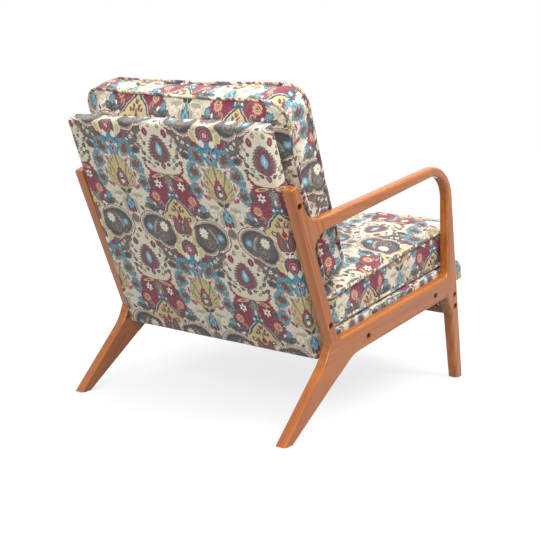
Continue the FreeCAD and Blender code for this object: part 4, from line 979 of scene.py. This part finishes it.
def back_at(x, along, across):
    """The back cushion's top sinks a little on itself, mostly at the right of its rear."""
    height = max(0.0, (along - BACK_LIFT) / BACK_HEIGHT)
    right = 0.5 - x / (2 * BACK_HALF)
    front = min(1.0, max(0.0, (across - BACK_LEVEL) / BACK_BOXING))
    left_sink = 5.0 * front
    right_sink = 20.0 - 10.0 * front
    sink = (1 - right) * left_sink + right * right_sink
    return panel_at(x, along - sink * height ** 3, across)


back = Cushion("back_cushion_cloth", back_at, (BACK_LIFT, BACK_LIFT + BACK_HEIGHT), BACK_HALF, 48.0,
               BACK_LEVEL, (BACK_BOXING, BACK_BOXING), (35.0, 32.0), 50)


def back_face(x, along):
    return 120 - x, along - 214 - 0.04 * (x + 30)


def back_side(on_side, x, along, across):
    if on_side:
        return 203 - across, along - 105
    return x - 5, across + 255


back_piece = back.build(cloth, "back_cushion", ("back_cushion_cover", "back_cushion_fill"),
                        back_face, back_side)

for cushion, body in ((seat, "seat_cushion"), (back, "back_cushion")):
    for upper, level in ((False, "lower"), (True, "upper")):
        cushion.piping(f"{body}_{level}_welt", upper, piping_cloth, body, (f"{body}_piping",), "piping_cord")

# Frame and hardware

for side, seed in (("right", 0.0), ("left", 3.7)):
    dress(wood_material(f"{side}_leg_wood", 95.0, seed=seed), f"{side}_front_leg")
    dress(wood_material(f"{side}_arm_wood", bend=(-0.21, 0.475, 0.075), seed=seed + 1.3), f"{side}_armrest")
    dress(wood_material(f"{side}_post_wood", 90.0 - 22.6, seed=seed + 2.1), f"{side}_back_post")
    dress(wood_material(f"{side}_rail_wood", -9.4, seed=seed + 4.4), f"{side}_side_rail")
    dress(wood_material(f"{side}_rear_leg_wood", -49.0, seed=seed + 5.2), f"{side}_rear_leg")
dress(wood_material("apron_wood", 0.0, seed=7.7), "front_apron")
raw = plain_material("raw_wood", colour(206, 172, 122), colour(176, 140, 96), 0.7, 30, stretch=(1, 6, 6))
dress(raw, "deck_right_rail", "deck_left_rail", "deck_rear_rail", "deck_front_rail", "deck_corner_blocks",
      "back_panel_right_stile", "back_panel_left_stile", "back_panel_bottom_rail", "back_panel_middle_rail",
      "back_panel_top_rail")
for name, light, dark, rough, scale, metal, parts in (
        ("dowel_wood", (222, 190, 140), (190, 156, 108), 0.6, 60, 0.0, both("frame_dowels")),
        ("fibre_board", (136, 104, 72), (112, 84, 58), 0.8, 300, 0.0, ["back_panel_board"]),
        ("webbing", (150, 124, 86), (112, 92, 66), 0.9, 400, 0.0, ["back_panel_webbing"]),
        ("dust_cloth", (34, 34, 36), (18, 18, 20), 0.95, 500, 0.0, ["deck_dust_cover"]),
        ("black_steel", (40, 38, 38), (22, 20, 20), 0.45, 200, 0.6, both("frame_bolts")),
        ("washer_steel", (120, 116, 110), (80, 76, 72), 0.4, 200, 0.9, both("bolt_washers")),
        ("zinc_steel", (190, 190, 188), (150, 150, 150), 0.35, 200, 1.0,
         both("panel_spacers", "threaded_inserts", "barrel_nuts")),
        ("spring_steel", (110, 108, 108), (70, 70, 72), 0.4, 120, 1.0, ["deck_springs"]),
        ("clip_plastic", (228, 226, 220), (206, 204, 198), 0.5, 90, 0.0, ["deck_spring_clips"]),
        ("glide_plastic", (58, 50, 44), (38, 34, 30), 0.6, 150, 0.0, both("foot_glides"))):
    dress(plain_material(name, colour(*light), colour(*dark), rough, scale, metal), *parts)

# Floor, light and camera


def soft_box(name, place, target, size, power):
    lamp = bpy.data.lights.new(name, "AREA")
    lamp.shape = "RECTANGLE"
    lamp.size, lamp.size_y = size
    lamp.energy = power
    item = bpy.data.objects.new(name, lamp)
    item.location = place
    item.rotation_euler = (Vector(target) - Vector(place)).to_track_quat("-Z", "Y").to_euler()
    bpy.context.scene.collection.objects.link(item)


def seen_directly(graph):
    """1 for rays from the camera and for mirrored or transmitted ones, 0 for light on the chair."""
    rays = graph.add("ShaderNodeLightPath").outputs
    seen = graph.maths("MAXIMUM", rays["Is Camera Ray"], rays["Is Glossy Ray"])
    return graph.maths("MAXIMUM", seen, rays["Is Transmission Ray"])


def make_floor():
    mesh = bpy.data.meshes.new("floor")
    mesh.from_pydata([(-8, -8, 0), (8, -8, 0), (8, 8, 0), (-8, 8, 0)], [], [(0, 1, 2, 3)])
    item = bpy.data.objects.new("floor", mesh)
    bpy.context.scene.collection.objects.link(item)
    material, graph, shader = new_material("pale_floor")
    tree = material.node_tree
    grain = graph.noise(graph.add("ShaderNodeTexCoord").outputs["Object"], 3.0)
    tree.links.new(graph.bands(grain, [(0.3, (0.24, 0.24, 0.24, 1)), (0.7, (0.25, 0.25, 0.25, 1))], "LINEAR"),
                   shader.inputs["Base Color"])
    shader.inputs["Roughness"].default_value = 1.0
    shader.inputs["Specular IOR Level"].default_value = 0.0
    away = graph.vector("LENGTH", graph.add("ShaderNodeTexCoord").outputs["Object"])
    brightness = graph.maths("MINIMUM", graph.times_plus(away, 0.04, 0.76), 0.88)
    glow = graph.add("ShaderNodeEmission", {"Strength": graph.times(seen_directly(graph), brightness)})
    both_shaders = graph.add("ShaderNodeAddShader", [shader.outputs[0], glow.outputs[0]])
    tree.links.new(both_shaders.outputs[0], tree.nodes["Material Output"].inputs[0])
    mesh.materials.append(material)


def make_world():
    world = bpy.data.worlds.new("studio")
    bpy.context.scene.world = world
    world.use_nodes = True
    graph = Graph(world.node_tree)
    strength = graph.times_plus(seen_directly(graph), 0.5, 0.5)
    background = world.node_tree.nodes["Background"]
    background.inputs[0].default_value = (1, 1, 1, 1)
    world.node_tree.links.new(strength, background.inputs[1])


def make_camera():
    yaw, pitch, roll = math.radians(219.565), math.radians(10.592), math.radians(0.08)
    forward = Vector((-math.sin(yaw) * math.cos(pitch), math.cos(yaw) * math.cos(pitch), -math.sin(pitch)))
    right = forward.cross(Vector((0, 0, 1))).normalized()
    up = right.cross(forward)
    right, up = right * math.cos(roll) + up * math.sin(roll), up * math.cos(roll) - right * math.sin(roll)
    data = bpy.data.cameras.new("camera")
    data.sensor_width = 36.0
    data.lens = 1147.45 * data.sensor_width / 540
    item = bpy.data.objects.new("camera", data)
    turn = Matrix((right, up, -forward)).transposed()
    item.matrix_world = Matrix.Translation((-1.79203, 2.18688, 0.82282)) @ turn.to_4x4()
    bpy.context.scene.collection.objects.link(item)
    bpy.context.scene.camera = item


make_floor()
make_world()
soft_box("top_light", (-0.4, -0.2, 3.0), (0, 0, 0.3), (3.0, 3.0), 85)
soft_box("side_light", (-2.2, -0.4, 2.7), (0, 0, 0.5), (0.9, 0.9), 44)
soft_box("rear_light", (-1.2, 3.0, 2.3), (0, 0.3, 0.4), (1.6, 1.6), 70)
make_camera()
bpy.context.scene.view_settings.view_transform = "Standard"
